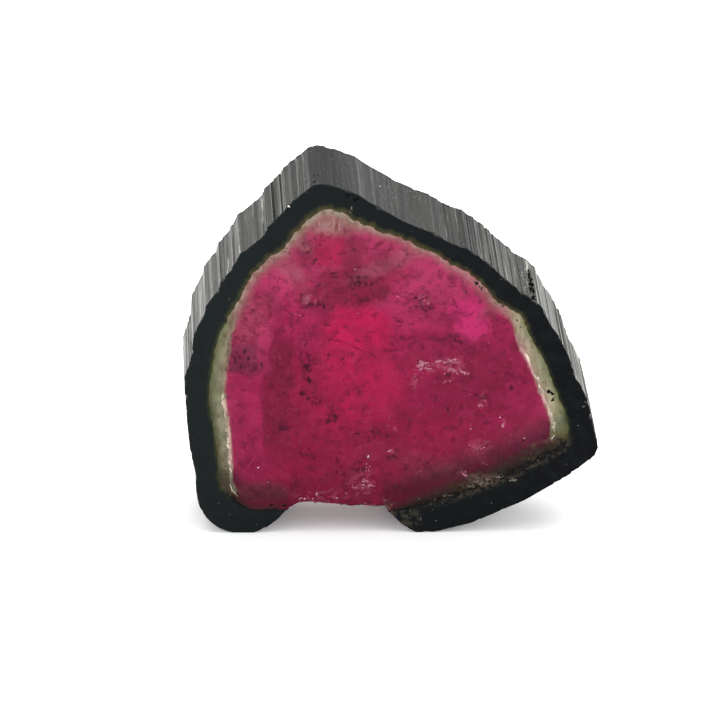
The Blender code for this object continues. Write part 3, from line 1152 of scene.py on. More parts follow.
# %% [markdown]
# Tourmaline grows in sectors: patches with straight or soft edges, each with its own tone. Most of the
# pink of this slice is such patches laid over one another. One patch could be a gradient in each finish,
# but there are dozens, so it is a node group with named inputs, built once. A second group turns a noise
# into a mask between two limits, for mottles, stains and clouds. Both put out masks only; the shaders
# stay in the materials.

# %% Groups with a mask as output
def new_group(name, vectors, numbers):
    """A node group with named vector and number inputs and one output, Mask, and what it is given."""
    group = bpy.data.node_groups.new(name, "ShaderNodeTree")
    sockets = [(title, "NodeSocketVector") for title in vectors]
    sockets += [(title, "NodeSocketFloat") for title in numbers]
    for title, kind in sockets:
        group.interface.new_socket(name=title, in_out="INPUT", socket_type=kind)
    group.interface.new_socket(name="Mask", in_out="OUTPUT", socket_type="NodeSocketFloat")
    return group, add(group, "NodeGroupInput").outputs


def put_out(group, mask):
    """Links a mask to the group's output."""
    add(group, "NodeGroupOutput", {"Mask": mask})
    return group


# %% A group for growth sectors
def growth_sector_group():
    """A group that puts out 1 inside a soft-edged oval or box in the XZ plane and 0 outside."""
    group, given = new_group(
        "growth_sector", ["Place", "Centre", "Half Size"], ["Turn", "Softness", "Squareness"]
    )
    from_middle = vector_maths(group, "SUBTRACT", {0: given["Place"], 1: given["Centre"]})
    turn = {"Vector": from_middle, "Angle": given["Turn"]}
    turned = add(group, "ShaderNodeVectorRotate", turn, rotation_type="Y_AXIS").outputs[0]
    shares = axes_of(group, vector_maths(group, "DIVIDE", {0: turned, 1: given["Half Size"]}))
    across = maths(group, "ABSOLUTE", shares["X"])
    upright = maths(group, "ABSOLUTE", shares["Z"])
    boxy = maths(group, "MAXIMUM", across, upright)
    squares = maths(group, "ADD", product(group, across, across), product(group, upright, upright))
    oval = maths(group, "SQRT", squares)
    shape = {0: given["Squareness"], 2: oval, 3: boxy}
    reach = add(group, "ShaderNodeMix", shape, data_type="FLOAT").outputs[0]
    low = maths(group, "SUBTRACT", 1.0, given["Softness"])
    high = maths(group, "ADD", 1.0, given["Softness"])
    return put_out(group, map_range(group, reach, low, high, 1.0, 0.0, smooth=True))


# %% A group for mineral grain
GRAIN_ROUGHNESS = 0.55


def grain_group():
    """A group that turns a noise into a mask with named limits."""
    group, given = new_group("mineral_grain", ["Place"], ["Scale", "Detail", "Low", "High"])
    value = grain(group, given["Place"], given["Scale"], given["Detail"], GRAIN_ROUGHNESS)
    return put_out(group, map_range(group, value, given["Low"], given["High"]))


growth_sector = growth_sector_group()
mineral_grain = grain_group()
print("groups:", growth_sector.name, mineral_grain.name)


# %% Masks from the groups
ENDLESS = 1000.0  # mm, the half size of a sector through the slab
STRAY_DETAIL, STRAY_ROUGHNESS = 5.0, 0.6


def sector_mask(tree, place, x, z, half_x, half_z, turn, softness, squareness):
    """The mask of one growth sector: its middle and half sizes (mm), its turn (degrees) and its edge."""
    given = {
        "Place": place, "Centre": (x, 0.0, z), "Half Size": (half_x, ENDLESS, half_z),
        "Turn": math.radians(turn), "Softness": softness, "Squareness": squareness,
    }
    return add(tree, "ShaderNodeGroup", given, node_tree=growth_sector).outputs["Mask"]


def grain_mask(tree, place, scale, low, high, detail, strength=1.0):
    """The mask of the shared grain: its scale per mm, its limits, its detail and how strong the mask is."""
    given = {"Place": place, "Scale": scale, "Detail": detail, "Low": low, "High": high}
    mask = add(tree, "ShaderNodeGroup", given, node_tree=mineral_grain).outputs["Mask"]
    return mask if strength == 1.0 else product(tree, mask, strength)


def strayed(tree, place, scale, reach):
    """A place pushed about by a noise, so that what is drawn there has a ragged edge."""
    given = {"Vector": place, "Scale": scale, "Detail": STRAY_DETAIL, "Roughness": STRAY_ROUGHNESS}
    push = add(tree, "ShaderNodeTexNoise", given).outputs["Color"]
    push = vector_maths(tree, "SUBTRACT", {0: push, 1: (0.5, 0.5, 0.5)})
    push = vector_maths(tree, "SCALE", {0: push, "Scale": reach})
    return vector_maths(tree, "ADD", {0: place, 1: push})


print("inputs of a sector:", [item.name for item in growth_sector.interface.items_tree])

# %% [markdown]
# ## The polished black rind
# The rind is so full of iron that it lets no light through. It could be plain black, but a real polished
# slice shows a green-black that is bluer on one side, faint mottles, and an olive glow where the rind
# thins out towards the pale band. The glow follows the number stored on the strip along the band, and a
# noise makes its reach uneven. At the foot the glow gives way to earthy crumbs. The polish is fine but
# not a mirror, so the specular level is low.

# %% Black rind, polished end
RIND_BLACK = rgb(0.0014, 0.0018, 0.0028)
RIND_GREEN_BLACK = rgb(0.0064, 0.0090, 0.0096)
RIND_MOTTLED = rgb(0.0048, 0.0066, 0.0070)
OLIVE = rgb(0.020, 0.026, 0.009)
OLIVE_GLOW = rgb(0.044, 0.041, 0.015)
BROWN_GLOW = rgb(0.070, 0.038, 0.016)
FRINGE_EARTH = rgb(0.044, 0.038, 0.028)
TOURMALINE_IOR = 1.63
RIND_MOTTLE = (1.4, 0.45, 0.80, 3.0)  # a grain: scale per mm, low and high limit, detail, strength
RUSTY = (1.1, 0.46, 0.58, 3.0)
EARTHY = (3.6, 0.42, 0.58, 5.0, 0.75)
DUSTY = (3.4, 0.44, 0.60, 6.0, 0.8)
LEFTWARDS = ("X", 9.0, -9.0)  # a fade: its axis, and in mm where it is 0 and where it is 1
PAST_APEX = ("X", -1.0, 2.0)
PAST_NOTCH = ("X", 1.5, 4.0)
UPPER_HALF = ("Z", 10.0, 19.0)
GLOW_REACH = (0.40, 0.80)  # share of the olive strip that glows, low down and at the top
GLOW_WAVER = (0.6, 2.2, 5.0, 0.65)  # a waver: its swing, scale per mm, detail, roughness
GLOW_END = (-0.6, 0.4)  # mm above the foot line, where the glow fades out and the crumbs begin
CRUMBS_REACH = (0.9, 0.0)  # shares of the olive strip
FOOT_LINE = (4.35, 0.20)  # the pale band turns dark below z = first + second times x, in mm
FOOT_WAVER = (0.6, 2.0, 4.0, 0.6)
WORN_SPOT = (0.95, 0.95, 0.80, 0.62, -35, 0.6, 0.0)  # a sector, on the right lobe beside the notch
WORN_STRAY = (2.2, 0.6)  # a ragged edge: scale per mm and reach in mm


# %% Finish the polished end
def above_foot_line(tree, axes):
    """How far a point lies above the line where the pale band turns dark, in mm."""
    line = maths(tree, "MULTIPLY_ADD", axes["X"], FOOT_LINE[1], FOOT_LINE[0])
    ragged = waver(tree, object_place(tree), *FOOT_WAVER)
    return maths(tree, "ADD", maths(tree, "SUBTRACT", axes["Z"], line), ragged)


def finish_polished_rind():
    shader, tree = shader_of(polished_rind)
    place = object_place(tree)
    axes = axes_of(tree, place)
    body = laid_over(tree, RIND_BLACK, RIND_GREEN_BLACK, fade(tree, axes, *LEFTWARDS))
    body = laid_over(tree, body, RIND_MOTTLED, grain_mask(tree, place, *RIND_MOTTLE))
    margin = add(tree, "ShaderNodeAttribute", attribute_name=MARGIN).outputs["Fac"]
    edge = maths(tree, "ADD", margin, waver(tree, place, *GLOW_WAVER))
    upper = fade(tree, axes, *UPPER_HALF)
    reach = map_range(tree, upper, 0.0, 1.0, *GLOW_REACH)
    glow = maths(tree, "SUBTRACT", 1.0, maths(tree, "DIVIDE", edge, reach), clamp=True)
    foot = map_range(tree, above_foot_line(tree, axes), *GLOW_END)
    rusty = grain_mask(tree, place, *RUSTY)
    upper_glow = laid_over(tree, OLIVE_GLOW, BROWN_GLOW, rusty, fade(tree, axes, *PAST_APEX))
    body = laid_over(tree, body, laid_over(tree, OLIVE, upper_glow, upper), glow, foot)
    crumbs = product(tree, map_range(tree, edge, *CRUMBS_REACH), maths(tree, "SUBTRACT", 1.0, foot))
    earthy = grain_mask(tree, place, *EARTHY)
    body = laid_over(tree, body, FRINGE_EARTH, crumbs, fade(tree, axes, *PAST_NOTCH), earthy)
    worn = sector_mask(tree, strayed(tree, place, *WORN_STRAY), *WORN_SPOT)
    body = laid_over(tree, body, FRINGE_EARTH, worn, grain_mask(tree, place, *DUSTY))
    tree.links.new(body, shader.inputs["Base Color"])
    set_evenly(shader, {"Roughness": 0.14, "IOR": TOURMALINE_IOR, "Specular IOR Level": 0.035})


finish_polished_rind()
say_nodes(polished_rind)

# %% [markdown]
# ## The ridged prism faces
# The outer wall is natural crystal face, with fine grooves along the crystal. The broad facets are in the
# mesh. The finest lines are a noise stretched along the crystal: it paints shade into the floor of each
# groove and a highlight on its crest, sets their roughness and feeds a bump. Broad bands of painted light
# and shade stand for facets that catch the light differently, and the side faces are painted brighter. One
# face at the apex is plainer and duller, with a painted sheen on its right part. A ragged black line along
# both edges is fresh break, and a pale crust sits on a few spots.

# %% Black rind, prism faces
# Painted shade and highlight: black in the floor of a groove, light grey on its crest.
GROOVE_SHADE_AND_HIGHLIGHT_TONES = [  # along the fine noise, from the floor of a groove to its crest
    (0.33, rgb(0.001, 0.001, 0.001)), (0.39, rgb(0.010, 0.010, 0.009)),
    (0.62, rgb(0.022, 0.022, 0.019)), (0.69, rgb(0.24, 0.235, 0.215)),
]
CALM_BLACK = rgb(0.0048, 0.0048, 0.0058)
# Painted sheen: the right part of the plain apex face is made lighter grey.
CALM_SHEEN_GREY = rgb(0.0125, 0.0135, 0.0120)
# Painted light: the side faces are made brighter than the apex, as they catch more light.
SIDE_PAINTED_LIGHT = rgb(1.9, 1.9, 1.85)  # the side faces are multiplied by it
WARM_TINT = rgb(1.0, 0.96, 0.80)
CRUST_GREY = rgb(0.13, 0.13, 0.12)
FRESH_BLACK = rgb(0.0005, 0.0005, 0.0005)
GROOVES = (6.2, 3.0, 0.62)  # scale per mm, detail, roughness of the fine noise
GROOVE_STRETCH = (1.0, 0.025, 1.0)
GROOVE_ROUGHNESS = (0.36, 0.64, 0.18, 0.50)  # the span of the fine noise, and the roughness it gives
BROAD_GROOVES = (1.9, 1.0)
# Painted light and shade: broad bands along the crystal made lighter and darker, for facets that catch the
# light differently.
BROAD_LIGHT_AND_SHADE = (0.42, 0.58, 0.62, 1.38)  # the span of the broad noise, and the brightness it gives
TINTED = (1.6, 0.50, 0.62, 3.0, 0.6)
CRUSTED = (5.5, 0.62, 0.70, 5.0)
CRUST_STRENGTH, CRUST_RISE = 0.6, 0.4  # in the colour and in the bump
RAGGED = (2.0, 0.40, 0.62, 5.0)
APEX_FACE = (("X", -5.1, -4.7), ("X", 1.6, 1.0))
APEX_PLAINNESS = 0.80
TOWARDS_SHEEN = ("X", -3.5, -2.7)
# where the painted light on the side faces comes in
SIDES = (4.8, 7.5)  # mm away from the middle, where the side faces come in
BREAKS = [  # y of the edge, direction of the wall, least and greatest reach of the black break; all in mm
    (BACK / MM, -1.0, 0.02, 0.30), (FRONT / MM, 1.0, 0.0, 0.16),
]
BITE = (7.9, 14.0, 0.22, 0.26, 0, 0.2, 0.0)  # a sector: a larger bite out of the front edge
BITE_STRAY = (3.0, 0.3)
BITE_END = ("Y", FRONT / MM + 0.55, FRONT / MM + 0.45)
BREAK_SOFTNESS = 0.01  # mm either way
BUMP_STRENGTH = 0.8
BUMP_HEIGHT = 0.04 * MM


# %% Finish the prism faces
def broken_edges(tree, place, axes):
    """A mask of the fresh black breaks: one larger bite, and a ragged line along each polished edge."""
    ragged = grain_mask(tree, object_place(tree, (1.0, 0.0, 1.0)), *RAGGED)
    bite = sector_mask(tree, strayed(tree, place, *BITE_STRAY), *BITE)
    broken = product(tree, bite, fade(tree, axes, *BITE_END))
    for edge, direction, least, most in BREAKS:
        depth = product(tree, maths(tree, "SUBTRACT", axes["Y"], edge), direction)
        reach = map_range(tree, ragged, 0.0, 1.0, least, most)
        inside = maths(tree, "SUBTRACT", reach, depth)
        line = map_range(tree, inside, -BREAK_SOFTNESS, BREAK_SOFTNESS)
        broken = maths(tree, "MAXIMUM", broken, line)
    return broken


def finish_prism_faces():
    shader, tree = shader_of(prism_faces)
    place = object_place(tree)
    axes = axes_of(tree, place)
    streaks = object_place(tree, GROOVE_STRETCH)
    fine = grain(tree, streaks, *GROOVES)
    # painted shade in the grooves and painted highlights on their crests
    body = ramp(tree, fine, GROOVE_SHADE_AND_HIGHLIGHT_TONES)
    # painted sheen on the right part of the plain apex face
    calm = laid_over(tree, CALM_BLACK, CALM_SHEEN_GREY, fade(tree, axes, *TOWARDS_SHEEN))
    on_apex_face = [fade(tree, axes, *side) for side in APEX_FACE]
    body = laid_over(tree, body, calm, *on_apex_face, APEX_PLAINNESS)
    # painted light: the side faces are made brighter
    sides = map_range(tree, maths(tree, "ABSOLUTE", axes["X"]), *SIDES)
    body = laid_over(tree, body, SIDE_PAINTED_LIGHT, sides, blend="MULTIPLY")
    # painted light and shade of the broad facets
    steps = map_range(tree, grain(tree, streaks, *BROAD_GROOVES), *BROAD_LIGHT_AND_SHADE)
    steps = add(tree, "ShaderNodeCombineColor", {0: steps, 1: steps, 2: steps}).outputs[0]
    body = laid_over(tree, body, steps, 1.0, blend="MULTIPLY")
    body = laid_over(tree, body, WARM_TINT, grain_mask(tree, streaks, *TINTED), blend="MULTIPLY")
    crust = grain_mask(tree, place, *CRUSTED)
    body = laid_over(tree, body, CRUST_GREY, crust, CRUST_STRENGTH)
    body = laid_over(tree, body, FRESH_BLACK, broken_edges(tree, place, axes))
    tree.links.new(body, shader.inputs["Base Color"])
    tree.links.new(map_range(tree, fine, *GROOVE_ROUGHNESS), shader.inputs["Roughness"])
    set_evenly(shader, {"IOR": TOURMALINE_IOR, "Specular IOR Level": 0.165})
    height = maths(tree, "MULTIPLY_ADD", crust, CRUST_RISE, fine)
    given = {"Height": height, "Strength": BUMP_STRENGTH, "Distance": BUMP_HEIGHT}
    bump = add(tree, "ShaderNodeBump", given).outputs[0]
    tree.links.new(bump, shader.inputs["Normal"])


finish_prism_faces()
say_nodes(prism_faces)

# %% [markdown]
# The wall between rind and core is only seen through the clear crystal. A pale olive there lights the
# band from behind, as the thin edge of the real rind does.

# %% Inner wall
WALL_OLIVE = rgb(0.55, 0.50, 0.34)
WALL_PALE = rgb(0.85, 0.80, 0.62)
WALL_MOTTLE = (1.2, 0.35, 0.65, 3.0)


def finish_inner_wall():
    shader, tree = shader_of(inner_wall)
    mottle = grain_mask(tree, object_place(tree), *WALL_MOTTLE)
    tree.links.new(laid_over(tree, WALL_OLIVE, WALL_PALE, mottle), shader.inputs["Base Color"])
    set_evenly(shader, {"Roughness": 0.7})


finish_inner_wall()
say_nodes(inner_wall)

# %% [markdown]
# ## The pinks
# The core is painted darker towards the foot, from maroon through crimson to rose at the top: the darker
# foot is painted shade, for the floor that lies in the slice's shadow behind it and shows through the
# crystal. One ramp along the height makes that painted shade. The sectors, each with a tone and a
# strength, are laid over it in order, and so are veils, patches of threads and the fine streaks under the
# apex. Their places and tones are rows of a table, because they belong to this one stone.

# %% Colours of the clear crystal
FOOT_MAROON_SHADE = rgb(0.285, 0.0085, 0.069)
LOWER_PINK = rgb(0.317, 0.0115, 0.09)
MIDDLE_PINK = rgb(0.396, 0.0176, 0.116)
UPPER_ROSE = rgb(0.455, 0.053, 0.171)
CRIMSON = rgb(0.52, 0.01, 0.11)
ROSE = rgb(0.520, 0.056, 0.201)
BRIGHT_PINK = rgb(0.585, 0.040, 0.218)
MAROON = rgb(0.162, 0.0085, 0.047)
CLARET = rgb(0.195, 0.004, 0.045)
PLUM = rgb(0.196, 0.04, 0.098)
STRIP_PINK = rgb(0.383, 0.022, 0.122)
BEIGE_VEIL = rgb(0.36, 0.37, 0.3)
ROSE_VEIL = rgb(0.405, 0.155, 0.216)
MAUVE_HAZE = rgb(0.26, 0.075, 0.105)
VEIL_PINK = rgb(0.58, 0.17, 0.26)
DUSTY_ROSE = rgb(0.405, 0.102, 0.178)
APEX_CRIMSON = rgb(0.45, 0.0095, 0.094)
SPECK_DARK = rgb(0.09, 0.006, 0.032)
DEEP_PLUM = rgb(0.115, 0.018, 0.055)
HOLLOW_MAUVE = rgb(0.33, 0.145, 0.185)
KNOT_PLUM = rgb(0.10, 0.010, 0.042)
STREAK_PALE = rgb(0.52, 0.38, 0.29)
STREAK_DARK = rgb(0.17, 0.055, 0.050)
WANDER = (0.8, 1.0)  # how the sectors' edges stray: scale per mm and reach in mm
# Painted shade: the pinks are darkest at the foot and lighten towards the apex.
RISE = (2.0, 19.0)  # z in mm between which the pinks change from foot to apex
PINK_TONES_WITH_SHADE = [  # along the rise
    (0.0, FOOT_MAROON_SHADE), (0.18, FOOT_MAROON_SHADE), (0.38, LOWER_PINK), (0.62, MIDDLE_PINK), (1.0, UPPER_ROSE),
]
MOSAICS = [  # cells per mm, the span of cell values it fades in over, strength, colour, whether it leans
    (1.1, 0.50, 1.0, 0.42, MAROON, True), (2.3, 0.6, 1.0, 0.22, ROSE, False),
]
CLOUDY = (0.9, 0.50, 0.61, 7.0, 0.52)  # a grain: scale per mm, low and high limit, detail, strength
THREADED = (4.6, 0.57, 0.64, 5.0)
THREADS_RISE = (6.0, 13.0, 0.18, 0.42)  # z in mm, and the strength of the fine threads there
SPECKLED = (2.1, 0.56, 0.64, 6.0, 0.66)
GLINTING = (4.1, 0.63, 0.70, 6.0, 0.30)
KNOTTED = (2.6, 0.575, 0.600, 7.0, 0.52)
KNOTTY_FROM = (9.5, 13.0)  # z in mm between which small dark knots come in
CALM_SPOTS = [  # x, z, half width, half height (mm)
    (-2.10, 12.95, 1.9, 1.5), (-3.75, 17.80, 0.9, 1.0), (3.85, 13.60, 0.9, 1.3),
]
DARK_THREADS = (2.2, 0.40, 0.54, 6.0, 0.80)
TORN = (3.4, 0.50, 0.56, 7.0, 0.5)
STREAK_STRENGTH = 0.75
# How each kind of sector ends: its softness and squareness.
CALM_EDGE, PATCH_EDGE, STREAK_EDGE = (0.25, 0.6), (0.5, 0.0), (0.4, 1.0)
MOSAIC_STRAY, PATCH_STRAY = (2.5, 0.5), (1.8, 0.8)  # a ragged edge: scale per mm and reach in mm

# %% Sectors, veils and streaks
SECTORS = [  # x, z, half width, half height (mm), turn (degrees), softness, squareness, colour, strength
    (2.40, 15.60, 3.3, 1.9, 30, 0.45, 0, ROSE, 0.80),
    (-5.80, 16.40, 1.5, 1.5, 0, 0.45, 0, ROSE, 0.85),
    (-7.90, 13.30, 1.1, 1.5, 0, 0.45, 0, DUSTY_ROSE, 0.75),
    (-2.60, 9.40, 3.2, 2.4, 0, 0.55, 0, CRIMSON, 0.60),
    (4.40, 10.20, 3.0, 2.7, 15, 0.55, 0, MAROON, 0.50),
    (7.00, 7.20, 1.4, 1.9, -12, 0.30, 0.5, STRIP_PINK, 0.45),
    (-7.30, 4.30, 1.3, 1.4, 0, 0.50, 0, STRIP_PINK, 0.50),
    (-6.35, 9.00, 0.75, 3.6, 0, 0.20, 1, MAROON, 0.75),
    (-4.90, 9.60, 1.0, 2.5, 0, 0.55, 0, MAROON, 0.45),
    (-8.05, 7.30, 1.02, 3.05, 3, 0.07, 1, STRIP_PINK, 0.90),
    (-8.15, 11.15, 0.95, 0.85, 0, 0.14, 1, PLUM, 0.85),
    (-7.95, 10.48, 0.85, 0.34, 0, 0.22, 1, DEEP_PLUM, 0.70),
    (-7.05, 11.90, 0.36, 1.5, 0, 0.30, 1, ROSE, 0.60),
    (-2.40, 15.50, 2.0, 1.3, 8, 0.45, 0, CLARET, 0.74),
    (-4.70, 14.75, 0.6, 0.5, 20, 0.40, 0, MAROON, 0.45),
    (-2.10, 12.95, 1.75, 1.30, 0, 0.25, 0.6, CRIMSON, 0.95),
    (-3.75, 17.80, 0.78, 0.95, 0, 0.12, 0.8, APEX_CRIMSON, 0.85),
    (-4.90, 17.50, 0.45, 0.9, 0, 0.45, 0, MAROON, 0.45),
    (-2.47, 17.45, 0.50, 1.05, 0, 0.18, 0.8, MAROON, 0.50),
    (-6.80, 14.60, 0.45, 0.9, 25, 0.50, 0, PLUM, 0.45),
    (3.85, 13.60, 0.90, 1.35, 28, 0.10, 0.8, BRIGHT_PINK, 0.90),
    (1.40, 14.40, 1.10, 0.9, 0, 0.50, 0, MAROON, 0.40),
    (-4.80, 14.72, 0.24, 0.36, 20, 0.30, 0, HOLLOW_MAUVE, 0.80),
    (-0.50, 16.70, 0.90, 0.8, 0, 0.50, 0, MIDDLE_PINK, 0.50),
    # painted shade across the lower middle
    (0.40, 6.60, 3.9, 1.1, 0, 0.60, 0, FOOT_MAROON_SHADE, 0.40),
    (-6.90, 2.60, 1.5, 0.6, 0, 0.50, 0, MAUVE_HAZE, 0.65),
    (3.50, 3.50, 4.5, 0.8, -24, 0.50, 0, MAUVE_HAZE, 0.30),
    (0.90, 17.70, 3.6, 0.50, 27, 0.50, 0, ROSE_VEIL, 0.70),
    (5.30, 14.70, 1.3, 0.40, 55, 0.50, 0, ROSE_VEIL, 0.70),
    (-6.20, 17.20, 1.9, 0.50, -57, 0.50, 0, ROSE_VEIL, 0.75),
    (-3.60, 19.55, 1.7, 0.90, 0, 0.40, 0, BEIGE_VEIL, 0.85),
    (-5.45, 18.45, 1.0, 0.36, -50, 0.50, 0, BEIGE_VEIL, 0.55),
]
VEILS = [  # x, z, half width, half height (mm), turn (degrees)
    (2.60, 10.70, 1.45, 0.45, 8), (-1.60, 3.20, 0.75, 0.75, 0), (4.80, 5.60, 0.60, 0.40, 0),
    (-4.62, 14.80, 0.42, 0.36, 20), (5.95, 7.00, 0.20, 0.50, 10), (4.79, 8.45, 0.20, 0.55, -15),
    (1.10, 9.90, 0.30, 0.60, 0), (-3.60, 2.40, 1.40, 0.28, 0), (1.35, 14.70, 0.40, 0.40, 0),
    (3.60, 3.90, 0.60, 0.40, 20), (0.10, 5.30, 0.25, 0.18, 0),
]
DARK_PATCHES = [  # the same, where dark threads lie close together
    (-2.31, 15.85, 0.50, 0.45, 20), (-1.01, 15.55, 0.60, 0.60, -20), (-1.90, 14.63, 0.50, 0.28, 10),
    (-3.59, 16.22, 0.36, 0.16, -5), (-4.36, 14.45, 0.26, 0.14, 25), (-4.87, 10.77, 0.26, 0.85, 5),
    (-4.66, 9.75, 0.34, 0.14, -25), (-3.39, 7.60, 0.30, 0.55, 5), (-4.91, 8.86, 0.18, 0.16, 0),
    (-4.30, 11.08, 0.26, 0.07, 10), (-7.96, 5.86, 0.30, 0.10, -20), (-5.10, 14.95, 0.12, 0.25, 0),
    (1.30, 14.95, 0.36, 0.18, 0), (1.70, 14.25, 0.40, 0.14, 10), (-0.30, 11.60, 0.60, 0.10, 0),
    (3.20, 12.40, 0.55, 0.30, 0), (4.90, 8.60, 0.35, 0.20, 30), (0.10, 4.80, 0.40, 0.20, 0),
]
APEX_STREAKS = [  # x, z, half width, half height (mm), turn (degrees), whether pale
    (-3.56, 19.30, 0.045, 0.42, 2, True), (-3.38, 19.50, 0.060, 0.50, 0, False),
    (-3.24, 19.25, 0.040, 0.32, -6, True), (-3.34, 19.02, 0.022, 0.22, 0, False),
    (-4.30, 19.35, 0.050, 0.14, 10, True),
]


# %% Colours of the pale band
BAND_GREEN = rgb(0.19, 0.32, 0.15)
BAND_PALE = rgb(0.345, 0.53, 0.30)
BAND_STONE = rgb(0.62, 0.84, 0.58)
BAND_OLIVE = rgb(0.075, 0.110, 0.035)
BAND_CREAM = rgb(1.0, 1.0, 0.80)
BAND_BEIGE = rgb(0.33, 0.54, 0.34)
BAND_LACE = rgb(0.47, 0.76, 0.47)
BAND_ROSE = rgb(0.38, 0.27, 0.24)
BAND_EARTH = rgb(0.05, 0.042, 0.03)
BAND_BROWN = rgb(0.16, 0.19, 0.10)
BAND_CRUMB = rgb(0.30, 0.26, 0.19)
BAND_CLOUD = rgb(0.68, 0.66, 0.70)  # the left flank is multiplied by it in patches
BAND_MOSS = rgb(0.42, 0.43, 0.12)
BAND_WINE = rgb(0.14, 0.030, 0.050)
FLANK_TONES = [(0.0, BAND_OLIVE), (0.03, BAND_OLIVE), (0.16, BAND_GREEN), (0.8, BAND_PALE)]
TOP_TONES = [(0.0, BAND_OLIVE), (0.14, BAND_LACE), (0.36, BAND_BEIGE), (1.0, BAND_ROSE)]
FOOT_TONES = [(0.0, RIND_BLACK), (0.30, RIND_BLACK), (0.62, BAND_EARTH), (1.0, BAND_WINE)]
TOP_LINE = 13.9  # the flanks end and the top begins at this z, in mm
CREAM_TOP = (10.77, 0.15)  # the cream line ends where z = first + second times x, in mm

print("sectors:", len(SECTORS), "veils:", len(VEILS), "dark patches:", len(DARK_PATCHES))

# %% [markdown]
# The zones of a crystal are not quite square to its length, so they drift a little with depth. A pattern
# that drifts with them looks right from the side too. The pinks are then broken up by a mosaic of healed
# cracks, by clouds and by specks, all from noise on that drifting place.

# %% Masks for the pinks
def leaning_place(tree, place):
    """Where a point's growth zone shows on the front face: the zones drift a little with depth."""
    depth = maths(tree, "SUBTRACT", axes_of(tree, place)["Y"], FRONT / MM)
    drift = vector_maths(tree, "SCALE", {0: (LEAN.x, 0.0, LEAN.y), "Scale": depth})
    return vector_maths(tree, "ADD", {0: place, 1: drift})


def mosaic_mask(tree, place, scale, low, high):
    """A mask that is even inside each cell of a ragged mosaic, as healed cracks cut the crystal up."""
    given = {"Vector": strayed(tree, place, *MOSAIC_STRAY), "Scale": scale}
    cells = add(tree, "ShaderNodeTexVoronoi", given).outputs["Color"]
    return map_range(tree, add(tree, "ShaderNodeSeparateColor", {0: cells}).outputs[0], low, high)


def knotty_mask(tree, leaning, ragged, height):
    """A mask of small dark knots in the upper half, away from the calm spots."""
    knotty = map_range(tree, height, *KNOTTY_FROM)
    for spot in CALM_SPOTS:
        calm = sector_mask(tree, ragged, *spot, 0, *CALM_EDGE)
        knotty = maths(tree, "SUBTRACT", knotty, calm, clamp=True)
    return product(tree, grain_mask(tree, leaning, *KNOTTED), knotty)


# %% The pinks from foot to apex
def crystal_colour(tree, place):
    """The pinks of the core: painted shade lifting from foot to apex, growth sectors, then mosaic, clouds
    and specks.
    """
    leaning = leaning_place(tree, place)
    ragged = strayed(tree, leaning, *WANDER)
    height = axes_of(tree, ragged)["Z"]
    # painted shade: darker towards the foot
    colour = ramp(tree, map_range(tree, height, *RISE), PINK_TONES_WITH_SHADE)
    for *sector, tone, strength in SECTORS:
        colour = laid_over(tree, colour, tone, sector_mask(tree, ragged, *sector), strength)
    for scale, low, high, strength, tone, leans in MOSAICS:
        mosaic = mosaic_mask(tree, leaning if leans else place, scale, low, high)
        colour = laid_over(tree, colour, tone, mosaic, strength)
    colour = laid_over(tree, colour, MAROON, grain_mask(tree, place, *CLOUDY))
    thread_strength = map_range(tree, height, *THREADS_RISE)
    colour = laid_over(tree, colour, SPECK_DARK, grain_mask(tree, leaning, *THREADED), thread_strength)
    colour = laid_over(tree, colour, SPECK_DARK, grain_mask(tree, leaning, *SPECKLED))
    colour = laid_over(tree, colour, ROSE_VEIL, grain_mask(tree, leaning, *GLINTING))
    return laid_over(tree, colour, KNOT_PLUM, knotty_mask(tree, leaning, ragged, height))


# %% Veils and dark patches
def with_patches(tree, place, colour, patches, tone, torn):
    """Soft patches of one tone laid over a colour where a torn mask lets them."""
    for patch in patches:
        mask = sector_mask(tree, place, *patch, *PATCH_EDGE)
        colour = laid_over(tree, colour, tone, mask, torn)
    return colour


def with_veils(tree, place, colour):
    """Dark patches and pale torn veils of tiny hollow tubes, laid over a colour."""
    ragged = strayed(tree, place, *PATCH_STRAY)
    threads = grain_mask(tree, place, *DARK_THREADS)
    colour = with_patches(tree, ragged, colour, DARK_PATCHES, SPECK_DARK, threads)
    colour = with_patches(tree, place, colour, VEILS, VEIL_PINK, grain_mask(tree, place, *TORN))
    for *streak, pale in APEX_STREAKS:
        mask = sector_mask(tree, place, *streak, *STREAK_EDGE)
        colour = laid_over(tree, colour, STREAK_PALE if pale else STREAK_DARK, mask, STREAK_STRENGTH)
    return colour


# %% [markdown]
# ## The pale band
# The band is green on the flanks, where it is broad, and beige with rose over the top, where it is thin.
# It is earth brown at the foot. The zone number on the mesh says how far across the band a point lies, so
# a ramp on that number draws olive, green and cream in the right order wherever the band goes. Masks
# along the height switch between flank, top and foot.

# %% Masks of the flanks
ALONG_THE_BAND = (1.0, 0.3, 0.22)  # stretch of the streaks, which run with the band
GREEN_STREAKS = (5.0, 0.46, 0.60, 3.0)
STONE_STREAKS = (3.3, 0.36, 0.56, 3.0)
CREAM_STREAKS = (3.0, 0.44, 0.54, 3.0)
BROWN_PATCHES = (1.3, 0.54, 0.62, 3.0, 0.6)
STAINED = (4.0, 0.56, 0.66, 6.0, 0.75)
GREY_CLOUDS = (1.9, 0.40, 0.56, 6.0)
LEFT_FLANK = ("X", -6.0, -8.0)
LOWER_LEFT = ("Z", 9.5, 6.5)
LEFT_TAIL = ("Z", 5.0, 3.2)
LOW_DOWN = ("Z", 7.5, 5.5)
RIGHT_FLANK = ("X", 0.0, 6.0)
RIGHT_END = (("X", 7.0, 8.5), ("Z", 7.4, 6.2))
STONE_ON_RIGHT, STONE_ON_LEFT = 0.52, 0.34
MOSS_STRENGTH = 0.6
